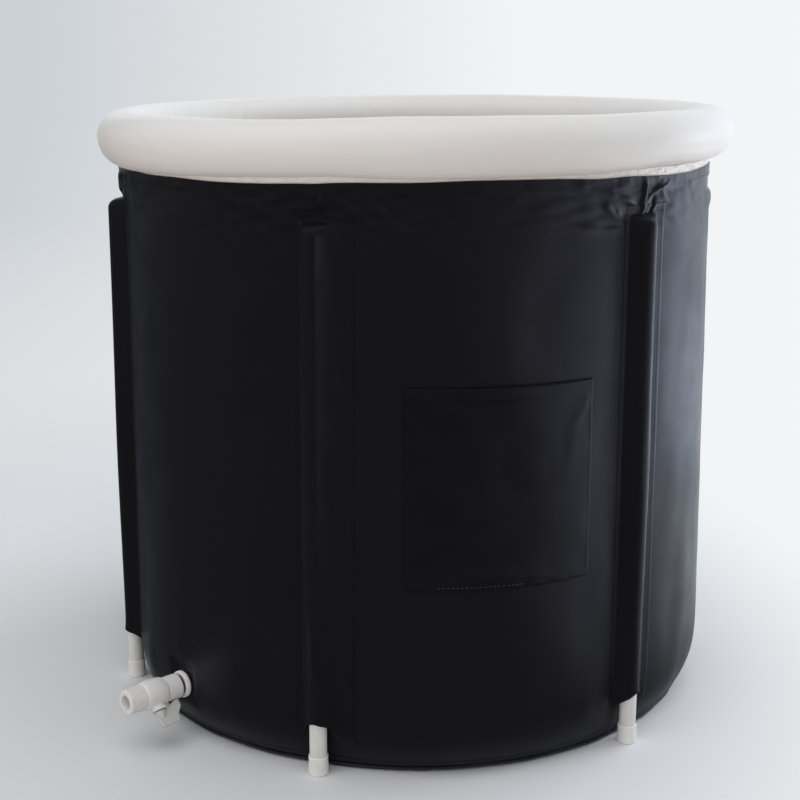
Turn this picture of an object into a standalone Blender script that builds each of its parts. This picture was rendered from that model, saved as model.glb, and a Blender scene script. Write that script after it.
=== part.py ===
"""Foldable bathtub: a padded black bag with a white liner, hung from an inflated rim that stands on
six loose poles in sewn sleeves, with a lever ball valve low on its wall.

Metres, +Z up. The origin is the centre of the base on the floor. The drain faces -Y, and angles are
counted from -Y towards +X.
"""

import math

import bmesh
import bpy
from mathutils import Matrix, Vector

# Clearances
SEAT_GAP = 0.0003  # between pieces that touch
CUT_OVERRUN = 0.002  # how far a cutter runs past the faces that it opens

# Poles
POLE_COUNT = 6
FIRST_POLE_ANGLE = math.radians(-30)
POLE_STANDOFF = 0.0053  # of the pole circle outside the hem
POLE_RADIUS = 0.010
POLE_WALL = 0.002
POLE_DROP = 0.058  # of a pole's top below the hem
POLE_SEGMENTS = 16

# Foot cups and top plugs of the poles
CUP_HEIGHT = 0.024
CUP_FLOOR = 0.0027
CUP_MOUTH_RADIUS = 0.0114
CUP_FOOT_RADIUS = 0.0118
CUP_EDGE = 0.001
PLUG_HEAD_HEIGHT = 0.0024
PLUG_DOME_HEIGHT = 0.0012
PLUG_STUB_LENGTH = 0.012
PLUG_EDGE = 0.0008

# Bag wall: outer face of the cover
HEM_RADIUS = 0.3687
HEM_HEIGHT = 0.670
HEM_DEPTH = 0.013
WALL_LOW_BULGE = 0.0108  # past the hem, half way between two poles, just above the bottom corner
WALL_TOP_BULGE = 0.0013  # the same, where the gathers start
WALL_BOW_POWER = 2.0
CORNER_HEIGHT = 0.088
CORNER_POWER = 2.7
BASE_INSET = 0.0167  # of the base's edge inside the hem
GATHER_HEIGHT = 0.025
GATHER_DEPTH = 0.0032
GATHER_PITCH_SHARE = 0.267  # of half a panel
GATHER_FADE_SHARE = 0.5
COLUMN_SHARES = (-0.75, -0.5, -0.267, -0.133, 0.0, 0.133, 0.267, 0.5, 0.75, 1.0)
CORNER_ROW_SHARES = (0.11, 0.27)

# Layers of the bag
COVER_THICKNESS = 0.001
FOAM_THICKNESS = 0.004
LINER_THICKNESS = 0.0008
FOAM_FOOT = 0.040
FOAM_DROP = 0.021  # of the foam's top below the gathers
FOAM_BASE_INSET = 0.012
LINER_BASE_INSET = 0.007
LINER_WAIST_INSET = 0.0097
LINER_WAIST_DROP = 0.017
PIPING_RADIUS = 0.0022
PIPING_HEIGHT = 0.0050  # where it touches the corner
PIPING_SEGMENTS = 5

# Sleeves
SLEEVE_CLEARANCE = 0.0006
SLEEVE_THICKNESS = 0.001
SLEEVE_LEFT_FLANGE = 0.0262
SLEEVE_RIGHT_FLANGE = 0.0437
SLEEVE_SEAM = 0.0195  # half width at which the tunnel meets the wall
SLEEVE_MOUTH_PEAK = 0.065
SLEEVE_MOUTH_LOW = 0.040
SLEEVE_MOUTH_POWER = 1.6
SLEEVE_MOUTH_ROW = 0.004
SLEEVE_MOUTH_GAP = 0.0008
SLEEVE_SHUT_HEIGHT = 0.0125
SLEEVE_TOP_MARGIN = 0.0015
SLEEVE_COLUMN_SHARES = (-1.0, -0.72, -0.45, -0.24, 0.0, 0.24, 0.45, 0.72, 1.0)
SLEEVE_CLOSING_SHARES = ((0.0, 1.0), (0.5, 0.55), (1.0, 0.0))  # height, swell of the tunnel

# Side pocket
POCKET_START = math.radians(45.0)
POCKET_WIDTH = 0.221
POCKET_FOOT = 0.226
POCKET_HEIGHT = 0.228
POCKET_THICKNESS = 0.0008
POCKET_HEM_THICKNESS = 0.0016
POCKET_GAPE = 0.0030
POCKET_ROW_SHARES = (0.0, 0.022, 0.35, 0.7, 0.93, 0.94, 1.0)
POCKET_HEM_SHARE = 0.935

# Inflated rim
RIM_INSET = 0.0042  # of the tube's centre inside the hem
RIM_TUBE_RADIUS = 0.0303
RIM_SKIN = 0.0008
RIM_TUBE_SEGMENTS = 12
RIM_SEGMENTS = 48
BAND_SHOWING = 0.0095  # height of the band between the hem and the rim
BAND_THICKNESS = 0.0011

# Inflation valve, on the outside of the rim at the back
NECK_RADIUS = 0.0062
NECK_BORE_RADIUS = 0.0043
NECK_LENGTH = 0.013
NECK_FLANGE_RADIUS = 0.0075
NECK_FLANGE_HEIGHT = 0.0014
NECK_CLEARANCE = 0.0004
FLAP_RADIUS = 0.0052
FLAP_THICKNESS = 0.0007
STOPPER_RADIUS = 0.0070
STOPPER_HEIGHT = 0.0032
STOPPER_SHANK_RADIUS = 0.0038
STOPPER_SHANK_LENGTH = 0.010
STOPPER_EDGE = 0.0008
INFLATION_SEGMENTS = 16

# Drain: where the wall is clamped flat, and the hole through it
DRAIN_HEIGHT = 0.065
CLAMP_INSET = 0.0040  # of the flat patch inside the bulging wall
CLAMP_HALF_WIDTH = 0.0198
CLAMP_FOOT = 0.045
CLAMP_TOP = CORNER_HEIGHT
DRAIN_HOLE_RADIUS = 0.0111

# Fitting through the wall, with its gaskets, lock nut and sealing ring
FITTING_TUBE_RADIUS = 0.0105
FITTING_BORE_RADIUS = 0.0075
FITTING_FLANGE_RADIUS = 0.0190
FITTING_FLANGE_HEIGHT = 0.0030
FITTING_EDGE = 0.0010
FITTING_REACH = 0.0220  # of the tube past the cover
RUNNING_FIT = 0.0003
INNER_GASKET_RADIUS = 0.0175
INNER_GASKET_THICKNESS = 0.0015
OUTER_GASKET_RADIUS = 0.0165
OUTER_GASKET_THICKNESS = 0.0012
NUT_RADIUS = 0.0162
NUT_HEIGHT = 0.0059
NUT_EDGE = 0.0012
SEAL_RADIUS = 0.0122
SEAL_HEIGHT = 0.0033

# Collar between the fitting and the valve body
COLLAR_RADIUS = 0.0149
COLLAR_LENGTH = 0.0195
COLLAR_EDGE = 0.0008
COLLAR_SOCKET_DEPTH = 0.0112
NOSE_RADIUS = 0.0089
TURNED_SEGMENTS = 24

# Valve body
BODY_START_RADIUS = 0.0150
BULB_RADIUS = 0.0178
BULB_LENGTH = 0.0293
OUTLET_ROOT_RADIUS = 0.0152
OUTLET_RADIUS = 0.0146
OUTLET_LENGTH = 0.0228
OUTLET_EDGE = 0.0008
SOCKET_RADIUS = 0.0088
SOCKET_DEPTH = 0.0205
WATERWAY_RADIUS = 0.0050
CAVITY_RADIUS = 0.0092
BALL_RADIUS = 0.0085
BALL_OFFSET = 0.0146  # of the ball's centre past the body's inlet face
SEAT_OUTER_RADIUS = 0.0088
SEAT_INNER_RADIUS = 0.0056
SEAT_BACK = 0.0081  # of a ball seat, from the ball's centre

# Stem boss, stem and lever
STEM_TILT = math.radians(40)  # from straight down towards +X
BOSS_RADIUS = 0.0087
BOSS_LIP_RADIUS = 0.0094
BOSS_LIP_HEIGHT = 0.0020
BOSS_END = 0.0216
STEM_RADIUS = 0.0030
STEM_SHOULDER_RADIUS = 0.0039
STEM_SHOULDER_HEIGHT = 0.0013
TANG_WIDTH = 0.0060
TANG_THICKNESS = 0.0024
TANG_DEPTH = 0.0019
GROOVE_RADIUS = 0.0021
GROOVE_FOOT = 0.0140
GROOVE_HEIGHT = 0.0018
ORING_SECTION_RADIUS = 0.00045
SHANK_HALF_WIDTH = 0.0021
SHANK_LENGTH = 0.0085
LEVER_GAP = 0.0008
LEVER_REACH = 0.0272
LEVER_DROP = 0.0198
LEVER_THICKNESS = 0.0056
LEVER_EDGE = 0.0007
HUB_RADIUS = 0.0080
HUB_HEIGHT = 0.0098
STEM_SEGMENTS = 16
# Corners of the lever: share of its reach towards the wall, share of its drop below the boss
LEVER_OUTLINE_SHARES = (
    (-0.25, 0.0), (0.33, 0.0), (0.50, -0.12), (0.846, -0.335), (0.98, -0.067), (1.0, 0.088),
    (0.742, 0.526), (0.77, 0.866), (0.70, 0.93), (0.058, 1.0), (-0.03, 0.95), (-0.154, 0.758),
    (-0.265, 0.242),
)

# Derived sizes
PANEL_ANGLE = 2 * math.pi / POLE_COUNT
HALF_PANEL = PANEL_ANGLE / 2
POLE_CIRCLE = HEM_RADIUS + POLE_STANDOFF
POLE_TOP = HEM_HEIGHT - POLE_DROP
WALL_LOW_RADIUS = HEM_RADIUS + WALL_LOW_BULGE
WALL_TOP_RADIUS = HEM_RADIUS + WALL_TOP_BULGE
BASE_EDGE_RADIUS = HEM_RADIUS - BASE_INSET
GATHER_END = HEM_HEIGHT - HEM_DEPTH
GATHER_START = GATHER_END - GATHER_HEIGHT
FOAM_TOP = GATHER_START - FOAM_DROP
FOAM_BASE_RADIUS = BASE_EDGE_RADIUS - FOAM_BASE_INSET
LINER_BASE_RADIUS = BASE_EDGE_RADIUS - LINER_BASE_INSET
LINER_WAIST_RADIUS = HEM_RADIUS - LINER_WAIST_INSET
LINER_WAIST_HEIGHT = GATHER_END - LINER_WAIST_DROP
CLAMP_DISTANCE = WALL_LOW_RADIUS - CLAMP_INSET
RIM_CIRCLE = HEM_RADIUS - RIM_INSET
RIM_FLAT_RADIUS = RIM_TUBE_RADIUS * math.cos(math.pi / RIM_TUBE_SEGMENTS)
RIM_HEIGHT = HEM_HEIGHT + BAND_SHOWING + SEAT_GAP + RIM_FLAT_RADIUS
WALL_POLE_RADIUS = POLE_CIRCLE - POLE_RADIUS - SEAT_GAP
POLE_FOOT = CUP_FLOOR + SEAT_GAP
PLUG_SEAT = POLE_TOP + SEAT_GAP
PLUG_TOP = PLUG_SEAT + PLUG_HEAD_HEIGHT + PLUG_DOME_HEIGHT
SLEEVE_SHUT_START = PLUG_TOP + SEAT_GAP
SLEEVE_TOP = SLEEVE_SHUT_START + SLEEVE_SHUT_HEIGHT + SLEEVE_TOP_MARGIN
FOAM_INSET = COVER_THICKNESS + SEAT_GAP
LINER_INSET = FOAM_INSET + FOAM_THICKNESS + SEAT_GAP
LINER_INNER_INSET = LINER_INSET + LINER_THICKNESS
BAND_RADIUS = HEM_RADIUS - COVER_THICKNESS - SEAT_GAP
LINER_TOP_RADIUS = BAND_RADIUS - BAND_THICKNESS - SEAT_GAP
BAND_FOOT = GATHER_END
BAND_TOP = HEM_HEIGHT + BAND_SHOWING
LINER_TOP = BAND_TOP - SEAT_GAP

# Stations along the drain, as distances from the tub's axis
LINER_CLAMP = CLAMP_DISTANCE - LINER_INNER_INSET
INNER_GASKET_FACE = LINER_CLAMP - SEAT_GAP
FLANGE_BACK = INNER_GASKET_FACE - INNER_GASKET_THICKNESS - SEAT_GAP
FLANGE_FACE = FLANGE_BACK - FITTING_FLANGE_HEIGHT
FITTING_END = CLAMP_DISTANCE + FITTING_REACH
OUTER_GASKET_FACE = CLAMP_DISTANCE + SEAT_GAP
NUT_FACE = OUTER_GASKET_FACE + OUTER_GASKET_THICKNESS + SEAT_GAP
SEAL_FACE = NUT_FACE + NUT_HEIGHT + SEAT_GAP
COLLAR_FACE = SEAL_FACE + SEAL_HEIGHT + SEAT_GAP
COLLAR_END = COLLAR_FACE + COLLAR_LENGTH
BODY_FACE = COLLAR_END + SEAT_GAP
BALL_DISTANCE = BODY_FACE + BALL_OFFSET
BULB_END = BODY_FACE + BULB_LENGTH
OUTLET_END = BULB_END + OUTLET_LENGTH
SOCKET_FLOOR = OUTLET_END - SOCKET_DEPTH
NOSE_END = BALL_DISTANCE - SEAT_BACK - SEAT_GAP
LEVER_TOP = BOSS_END + LEVER_GAP


# Materials


def material(name, colour, roughness, metallic=0.0):
    """A Principled material, made once and shared by name."""
    found = bpy.data.materials.get(name)
    if found:
        return found
    made = bpy.data.materials.new(name)
    made.use_nodes = True
    made.diffuse_color = (*colour, 1.0)
    shader = made.node_tree.nodes["Principled BSDF"]
    shader.inputs["Base Color"].default_value = (*colour, 1.0)
    shader.inputs["Roughness"].default_value = roughness
    shader.inputs["Metallic"].default_value = metallic
    return made


def coated_fabric():
    return material("coated_fabric", (0.012, 0.012, 0.015), 0.42)


def sleeve_fabric():
    return material("sleeve_fabric", (0.014, 0.014, 0.017), 0.45)


def seam_binding():
    return material("seam_binding", (0.030, 0.030, 0.034), 0.50)


def closed_cell_foam():
    return material("closed_cell_foam", (0.78, 0.80, 0.80), 0.75)


def liner_vinyl():
    return material("liner_vinyl", (0.80, 0.81, 0.80), 0.35)


def rim_vinyl():
    return material("rim_vinyl", (0.82, 0.81, 0.79), 0.28)


def band_vinyl():
    return material("band_vinyl", (0.80, 0.76, 0.73), 0.38)


def clear_vinyl():
    return material("clear_vinyl", (0.70, 0.72, 0.74), 0.20)


def pipe_plastic():
    return material("pipe_plastic", (0.74, 0.72, 0.68), 0.35)


def cap_plastic():
    return material("cap_plastic", (0.76, 0.74, 0.70), 0.40)


def valve_plastic():
    return material("valve_plastic", (0.74, 0.70, 0.69), 0.34)


def lever_plastic():
    return material("lever_plastic", (0.62, 0.62, 0.60), 0.38)


def ball_plastic():
    return material("ball_plastic", (0.66, 0.66, 0.67), 0.22)


def seat_plastic():
    return material("seat_plastic", (0.86, 0.86, 0.85), 0.30)


def gasket_rubber():
    return material("gasket_rubber", (0.015, 0.015, 0.015), 0.60)


# Mesh tools


def clear_scene():
    for old in list(bpy.data.objects):
        bpy.data.objects.remove(old, do_unlink=True)


def mesh_from(name, build):
    """A mesh whose faces point outwards, filled by the given function."""
    mesh = bpy.data.meshes.new(name)
    bm = bmesh.new()
    build(bm)
    bmesh.ops.recalc_face_normals(bm, faces=bm.faces)
    bm.to_mesh(mesh)
    bm.free()
    mesh.shade_smooth()
    mesh.set_sharp_from_angle(angle=math.radians(35))
    return mesh


def place(name, mesh, finish, parent=None):
    """An object of this mesh, with its own material slot, under an optional parent."""
    obj = bpy.data.objects.new(name, mesh)
    bpy.context.scene.collection.objects.link(obj)
    if finish and not mesh.materials:
        mesh.materials.append(finish)
    if parent:
        obj.parent = parent
    return obj


def helper(name, mesh, parent=None):
    """A cutter or a joined shape, which isn't a piece by itself."""
    obj = place(name, mesh, None, parent)
    obj.hide_render = True
    obj.display_type = "WIRE"
    return obj


def combine(obj, other, operation):
    modifier = obj.modifiers.new(f"{operation.lower()} {other.name}", "BOOLEAN")
    modifier.operation = operation
    modifier.solver = "EXACT"
    modifier.object = other


def skin_rings(bm, rings, closed_profile, tips=None, leans=None):
    """Joins rings of points into a skin: round on itself, or shut by a fan at each end. Leans says for
    each column whether its quads fold along the diagonal that climbs to the next column."""
    made = [[bm.verts.new(point) for point in ring] for ring in rings]
    pairs = list(zip(made, made[1:]))
    if closed_profile:
        pairs.append((made[-1], made[0]))
    for lower, upper in pairs:
        count = len(lower)
        climbs = upper[0].co.z >= lower[0].co.z
        for i in range(count):
            j = (i + 1) % count
            if not leans:
                bm.faces.new((lower[i], lower[j], upper[j], upper[i]))
            elif leans[i] == climbs:
                bm.faces.new((lower[i], lower[j], upper[j]))
                bm.faces.new((lower[i], upper[j], upper[i]))
            else:
                bm.faces.new((lower[i], lower[j], upper[i]))
                bm.faces.new((lower[j], upper[j], upper[i]))
    if closed_profile:
        return
    for side, ring in enumerate((made[0], made[-1])):
        tip = tips[side] if tips else Vector((0, 0, ring[0].co.z))
        centre = bm.verts.new(tip)
        for i in range(len(ring)):
            bm.faces.new((ring[i], ring[(i + 1) % len(ring)], centre))


def turned(name, profile, segments):
    """Turns (radius, height) points round Z. A profile that ends on the axis at both ends is a solid,
    and any other is closed on itself as a ring."""
    solid = profile[0][0] == 0 and profile[-1][0] == 0
    points = profile[1:-1] if solid else profile

    def build(bm):
        rings = []
        for radius, height in points:
            ring = []
            for i in range(segments):
                angle = 2 * math.pi * (i + 0.5) / segments
                ring.append(Vector((radius * math.cos(angle), radius * math.sin(angle), height)))
            rings.append(ring)
        tips = (Vector((0, 0, profile[0][1])), Vector((0, 0, profile[-1][1])))
        skin_rings(bm, rings, not solid, tips)

    return mesh_from(name, build)


def box(name, low, high):
    """A box between two corners."""

    def build(bm):
        bmesh.ops.create_cube(bm, size=1.0)
        for vert in bm.verts:
            for axis in range(3):
                vert.co[axis] = high[axis] if vert.co[axis] > 0 else low[axis]

    return mesh_from(name, build)


def arc(centre, radius, start, end, steps):
    """Points (radius, height) on an arc round a point of the profile plane, angles from the radius axis."""
    points = []
    for i in range(steps + 1):
        angle = start + (end - start) * i / steps
        points.append((centre[0] + radius * math.cos(angle), centre[1] + radius * math.sin(angle)))
    return points


def polar(radius, angle, height):
    return Vector((radius * math.sin(angle), -radius * math.cos(angle), height))


# Shape of the bag


def clamp_angle():
    return math.asin(CLAMP_HALF_WIDTH / CLAMP_DISTANCE)


def column_angles():
    """Angles of the columns that every layer of the bag shares, in rising order from the first pole."""
    found = []
    for pole in range(POLE_COUNT):
        middle = FIRST_POLE_ANGLE + pole * PANEL_ANGLE
        found += [middle + share * HALF_PANEL for share in COLUMN_SHARES]
    found += [-clamp_angle(), clamp_angle()]
    return sorted(found)


def pole_share(angle):
    """0 at a pole and 1 half way between two poles."""
    turns = (angle - FIRST_POLE_ANGLE) / PANEL_ANGLE
    return 2 * abs(turns - round(turns))


def straight_wall_radius(angle, height):
    rise = (height - CORNER_HEIGHT) / (GATHER_START - CORNER_HEIGHT)
    middle = WALL_LOW_RADIUS + (WALL_TOP_RADIUS - WALL_LOW_RADIUS) * rise
    drawn_in = (1 - pole_share(angle)) ** WALL_BOW_POWER
    return middle - (middle - WALL_POLE_RADIUS) * drawn_in


def gather(angle):
    """Folds that spread from each pole where the loose cloth is drawn up to the hem."""
    share = pole_share(angle)
    wave = -math.cos(2 * math.pi * share / GATHER_PITCH_SHARE)
    return GATHER_DEPTH * wave * math.exp(-((share / GATHER_FADE_SHARE) ** 2))


def in_clamp(angle, height):
    inside = abs(angle) <= clamp_angle() + 1e-6
    return inside and CLAMP_FOOT - 1e-6 <= height <= CLAMP_TOP + 1e-6


def cover_radius(angle, height):
    """Outer face of the cover."""
    if in_clamp(angle, height):
        return CLAMP_DISTANCE / math.cos(angle)
    if height >= GATHER_END:
        return HEM_RADIUS
    if height > GATHER_START:
        rise = (height - GATHER_START) / (GATHER_END - GATHER_START)
        loose = straight_wall_radius(angle, GATHER_START)
        radius = loose + (HEM_RADIUS - loose) * rise
        return radius + gather(angle) * math.sin(math.pi * rise)
    if height >= CORNER_HEIGHT:
        return straight_wall_radius(angle, height)
    low = straight_wall_radius(angle, CORNER_HEIGHT)
    return low - (low - BASE_EDGE_RADIUS) * (1 - height / CORNER_HEIGHT) ** CORNER_POWER


def cover_rows():
    """Heights of the cover's rows, from the floor up to the hem."""
    middle = (GATHER_START + GATHER_END) / 2
    rows = [share * CORNER_HEIGHT for share in CORNER_ROW_SHARES]
    return [0.0, *rows, CLAMP_FOOT, CLAMP_TOP, GATHER_START, middle, GATHER_END, HEM_HEIGHT]


def bracket(values, value):
    """The two neighbours in a rising list that this value lies between."""
    for before, after in zip(values, values[1:]):
        if value < after:
            return before, after
    return values[-2], values[-1]


def column_leans():
    """Whether each column's facets fold up towards the next: they climb away from the nearer pole."""
    columns = column_angles()
    following = columns[1:] + columns[:1]
    return [pole_share(a) < pole_share(b) for a, b in zip(columns, following)]


def facet_radius(angle, height):
    """Radius of the cover's flat facets, which run between its columns and its rows."""
    before, after = bracket(column_angles(), angle)
    low, high = bracket(cover_rows(), height)
    across = (angle - before) / (after - before)
    rise = (height - low) / (high - low)
    if pole_share(before) < pole_share(after):
        third = (after, low) if across > rise else (before, high)
        corners = [(before, low), (after, high), third]
    else:
        third = (before, low) if across + rise < 1 else (after, high)
        corners = [(after, low), (before, high), third]
    points = [polar(cover_radius(a, h), a, h) for a, h in corners]
    normal = (points[1] - points[0]).cross(points[2] - points[0])
    return normal.dot(points[0] - Vector((0, 0, height))) / normal.dot(polar(1, angle, 0))


def wall_ring(height, inset=0.0):
    """Points on the cover's facets at this height, or on a layer this far inside them."""
    ring = []
    for angle in column_angles():
        depth = inset / math.cos(angle) if in_clamp(angle, height) else inset
        ring.append(polar(facet_radius(angle, height) - depth, angle, height))
    return ring


def round_ring(radius, height):
    return [polar(radius, a, height) for a in column_angles()]


# The bag


def cut_drain_hole(obj):
    """Opens the hole for the drain's fitting through this layer."""
    cutter = helper(f"hole_in_{obj.name}", turned(f"hole_in_{obj.name}", [
        (0, LINER_CLAMP - CUT_OVERRUN),
        (DRAIN_HOLE_RADIUS, LINER_CLAMP - CUT_OVERRUN),
        (DRAIN_HOLE_RADIUS, CLAMP_DISTANCE + CUT_OVERRUN),
        (0, CLAMP_DISTANCE + CUT_OVERRUN),
    ], TURNED_SEGMENTS), drain_axis())
    combine(obj, cutter, "DIFFERENCE")


def build_cover():
    """Black outer bag: base, rounded bottom corner, wall drawn in at the poles, gathers and hem."""

    def build(bm):
        rings = [wall_ring(height) for height in cover_rows()]
        rings += [wall_ring(height, COVER_THICKNESS) for height in cover_rows()[:0:-1]]
        rings.append(round_ring(BASE_EDGE_RADIUS - COVER_THICKNESS, COVER_THICKNESS))
        skin_rings(bm, rings, False, leans=column_leans())

    cover = place("cover", mesh_from("cover", build), coated_fabric())
    cut_drain_hole(cover)


def build_base_piping():
    """Bound seam round the foot of the bag."""
    rise = cover_rows()[1]

    def build(bm):
        rings = []
        for i in range(PIPING_SEGMENTS):
            turn = 2 * math.pi * (i + 0.5) / PIPING_SEGMENTS
            ring = []
            for angle in column_angles():
                run = cover_radius(angle, rise) - BASE_EDGE_RADIUS
                out = Vector((rise, -run)).normalized()
                touch = BASE_EDGE_RADIUS + run * PIPING_HEIGHT / rise
                centre = Vector((touch, PIPING_HEIGHT)) + out * (PIPING_RADIUS + SEAT_GAP)
                radius = centre.x + PIPING_RADIUS * math.cos(turn)
                ring.append(polar(radius, angle, centre.y + PIPING_RADIUS * math.sin(turn)))
            rings.append(ring)
        skin_rings(bm, rings, True)

    place("base_piping", mesh_from("base_piping", build), seam_binding())


def build_foam_wall():
    """Insulating foam sheet between the cover and the liner."""
    heights = [FOAM_FOOT, CLAMP_FOOT, CLAMP_TOP, FOAM_TOP]

    def build(bm):
        rings = [wall_ring(height, FOAM_INSET) for height in heights]
        rings += [wall_ring(height, FOAM_INSET + FOAM_THICKNESS) for height in heights[::-1]]
        skin_rings(bm, rings, True, leans=column_leans())

    foam = place("foam_wall", mesh_from("foam_wall", build), closed_cell_foam())
    cut_drain_hole(foam)


def build_foam_base():
    """Round foam pad under the liner."""
    foot = COVER_THICKNESS + SEAT_GAP
    top = foot + FOAM_THICKNESS
    rings = [round_ring(FOAM_BASE_RADIUS, foot), round_ring(FOAM_BASE_RADIUS, top)]
    mesh = mesh_from("foam_base", lambda bm: skin_rings(bm, rings, False))
    place("foam_base", mesh, closed_cell_foam())


def build_liner():
    """White watertight bag, hung from the rim's band and drawn in above the foam."""
    foot = COVER_THICKNESS + FOAM_THICKNESS + 2 * SEAT_GAP
    walls = [cover_rows()[2], CLAMP_FOOT, CLAMP_TOP, FOAM_TOP]
    tops = [
        (LINER_WAIST_RADIUS, LINER_WAIST_HEIGHT),
        (LINER_TOP_RADIUS, GATHER_END),
        (LINER_TOP_RADIUS, LINER_TOP),
    ]

    def build(bm):
        rings = [round_ring(LINER_BASE_RADIUS, foot)]
        rings += [wall_ring(height, LINER_INSET) for height in walls]
        rings += [round_ring(radius, height) for radius, height in tops]
        rings += [round_ring(radius - LINER_THICKNESS, height) for radius, height in tops[::-1]]
        rings += [wall_ring(height, LINER_INNER_INSET) for height in walls[::-1]]
        rings.append(round_ring(LINER_BASE_RADIUS - LINER_THICKNESS, foot + LINER_THICKNESS))
        skin_rings(bm, rings, False, leans=column_leans())

    liner = place("liner", mesh_from("liner", build), liner_vinyl())
    cut_drain_hole(liner)


def tunnel_radius(across, reach, seam, base):
    """Outermost radius of a cloth tunnel round the pole: its arc, and the tangent down to the seam."""
    seam_height = base - POLE_CIRCLE
    distance = math.hypot(seam, seam_height)
    touch = math.atan2(seam_height, seam) + math.acos(reach / distance)
    touch_across = reach * math.cos(touch)
    touch_height = reach * math.sin(touch)
    side = abs(across)
    if side <= touch_across:
        return POLE_CIRCLE + math.sqrt(reach**2 - side**2)
    if side >= seam:
        return base
    fall = (side - touch_across) / (seam - touch_across)
    return POLE_CIRCLE + touch_height + (seam_height - touch_height) * fall


def sleeve_mouth(angle):
    """Height of the arched mouth: highest over the pole, and down to each seam."""
    half = SLEEVE_LEFT_FLANGE if angle < 0 else SLEEVE_RIGHT_FLANGE
    share = abs(angle) * POLE_CIRCLE / half
    return SLEEVE_MOUTH_PEAK - (SLEEVE_MOUTH_PEAK - SLEEVE_MOUTH_LOW) * share**SLEEVE_MOUTH_POWER


def sleeve_mesh():
    """Sewn tunnel for one pole, at the angle of the first pole: open below, shut above."""
    seam = SLEEVE_SEAM / POLE_CIRCLE
    angles = [share * seam for share in SLEEVE_COLUMN_SHARES]
    edge = seam + SLEEVE_THICKNESS / POLE_CIRCLE
    column = COLUMN_SHARES[5] * HALF_PANEL
    ends = (-SLEEVE_LEFT_FLANGE / POLE_CIRCLE, SLEEVE_RIGHT_FLANGE / POLE_CIRCLE)
    angles = [ends[0], -edge, *angles, edge, column, ends[1]]
    levels = [(0, 1.0), (CLAMP_FOOT, 1.0), (CORNER_HEIGHT, 1.0)]
    levels += [(SLEEVE_SHUT_START + share * SLEEVE_SHUT_HEIGHT, swell) for share, swell in SLEEVE_CLOSING_SHARES]
    levels.append((SLEEVE_TOP, 0.0))

    def surface(thickness):
        grid = []
        for level, swell in levels:
            row = []
            for angle in angles:
                least = sleeve_mouth(angle) + (SLEEVE_MOUTH_ROW if level else 0)
                height = max(level, least)
                gap = SEAT_GAP if level > CLAMP_FOOT else SLEEVE_MOUTH_GAP
                wall = facet_radius(FIRST_POLE_ANGLE + angle, height) + gap + thickness
                reach = POLE_RADIUS + SLEEVE_CLEARANCE + thickness
                full = tunnel_radius(angle * POLE_CIRCLE, reach, SLEEVE_SEAM + thickness, wall)
                row.append(polar(wall + (full - wall) * swell, angle, height))
            grid.append(row)
        return grid

    def build(bm):
        sheet_solid(bm, surface(0.0), surface(SLEEVE_THICKNESS))

    return mesh_from("pole_sleeve", build)


def sheet_solid(bm, inner, outer):
    """A sheet with two faces, given as equal grids of points, closed round its edge."""
    made = [[[bm.verts.new(point) for point in row] for row in grid] for grid in (inner, outer)]
    rows = len(inner)
    columns = len(inner[0])
    for grid in made:
        for r in range(rows - 1):
            for c in range(columns - 1):
                bm.faces.new((grid[r][c], grid[r][c + 1], grid[r + 1][c + 1], grid[r + 1][c]))
    edge = [(0, c) for c in range(columns)]
    edge += [(r, columns - 1) for r in range(1, rows)]
    edge += [(rows - 1, c) for c in range(columns - 2, -1, -1)]
    edge += [(r, 0) for r in range(rows - 2, 0, -1)]
    for (r, c), (s, d) in zip(edge, edge[1:] + edge[:1]):
        bm.faces.new((made[0][r][c], made[0][s][d], made[1][s][d], made[1][r][c]))


def build_sleeves():
    mesh = sleeve_mesh()
    for pole in range(POLE_COUNT):
        sleeve = place(f"pole_sleeve_{pole + 1}", mesh, sleeve_fabric())
        sleeve.rotation_euler.z = FIRST_POLE_ANGLE + pole * PANEL_ANGLE


def build_side_pocket():
    """Patch pocket sewn on its sides and foot, with a doubled hem that stands a little open."""
    end = POCKET_START + POCKET_WIDTH / POLE_CIRCLE
    corners = [POCKET_START] + [a for a in column_angles() if POCKET_START + 1e-6 < a < end] + [end]
    angles = []
    for first, second in zip(corners, corners[1:]):
        angles += [first, (first + second) / 2]
    angles.append(end)

    def lift(angle, share):
        across = (angle - POCKET_START) / (end - POCKET_START)
        return POCKET_GAPE * math.sin(math.pi * across) * share**2

    def surface(outside):
        grid = []
        for share in POCKET_ROW_SHARES:
            height = POCKET_FOOT + share * POCKET_HEIGHT
            thickness = POCKET_HEM_THICKNESS if share > POCKET_HEM_SHARE else POCKET_THICKNESS
            row = []
            for angle in angles:
                wall = facet_radius(angle, height) + SEAT_GAP
                row.append(polar(wall + lift(angle, share) + thickness * outside, angle, height))
            grid.append(row)
        return grid

    mesh = mesh_from("side_pocket", lambda bm: sheet_solid(bm, surface(0), surface(1)))
    place("side_pocket", mesh, sleeve_fabric())


# The rim


def torus_mesh(name, tube_radius):
    rings = []
    for i in range(RIM_TUBE_SEGMENTS):
        turn = 2 * math.pi * (i + 0.5) / RIM_TUBE_SEGMENTS
        radius = RIM_CIRCLE + tube_radius * math.cos(turn)
        height = RIM_HEIGHT + tube_radius * math.sin(turn)
        around = [2 * math.pi * k / RIM_SEGMENTS for k in range(RIM_SEGMENTS)]
        rings.append([polar(radius, angle, height) for angle in around])
    return mesh_from(name, lambda bm: skin_rings(bm, rings, True))


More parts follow.
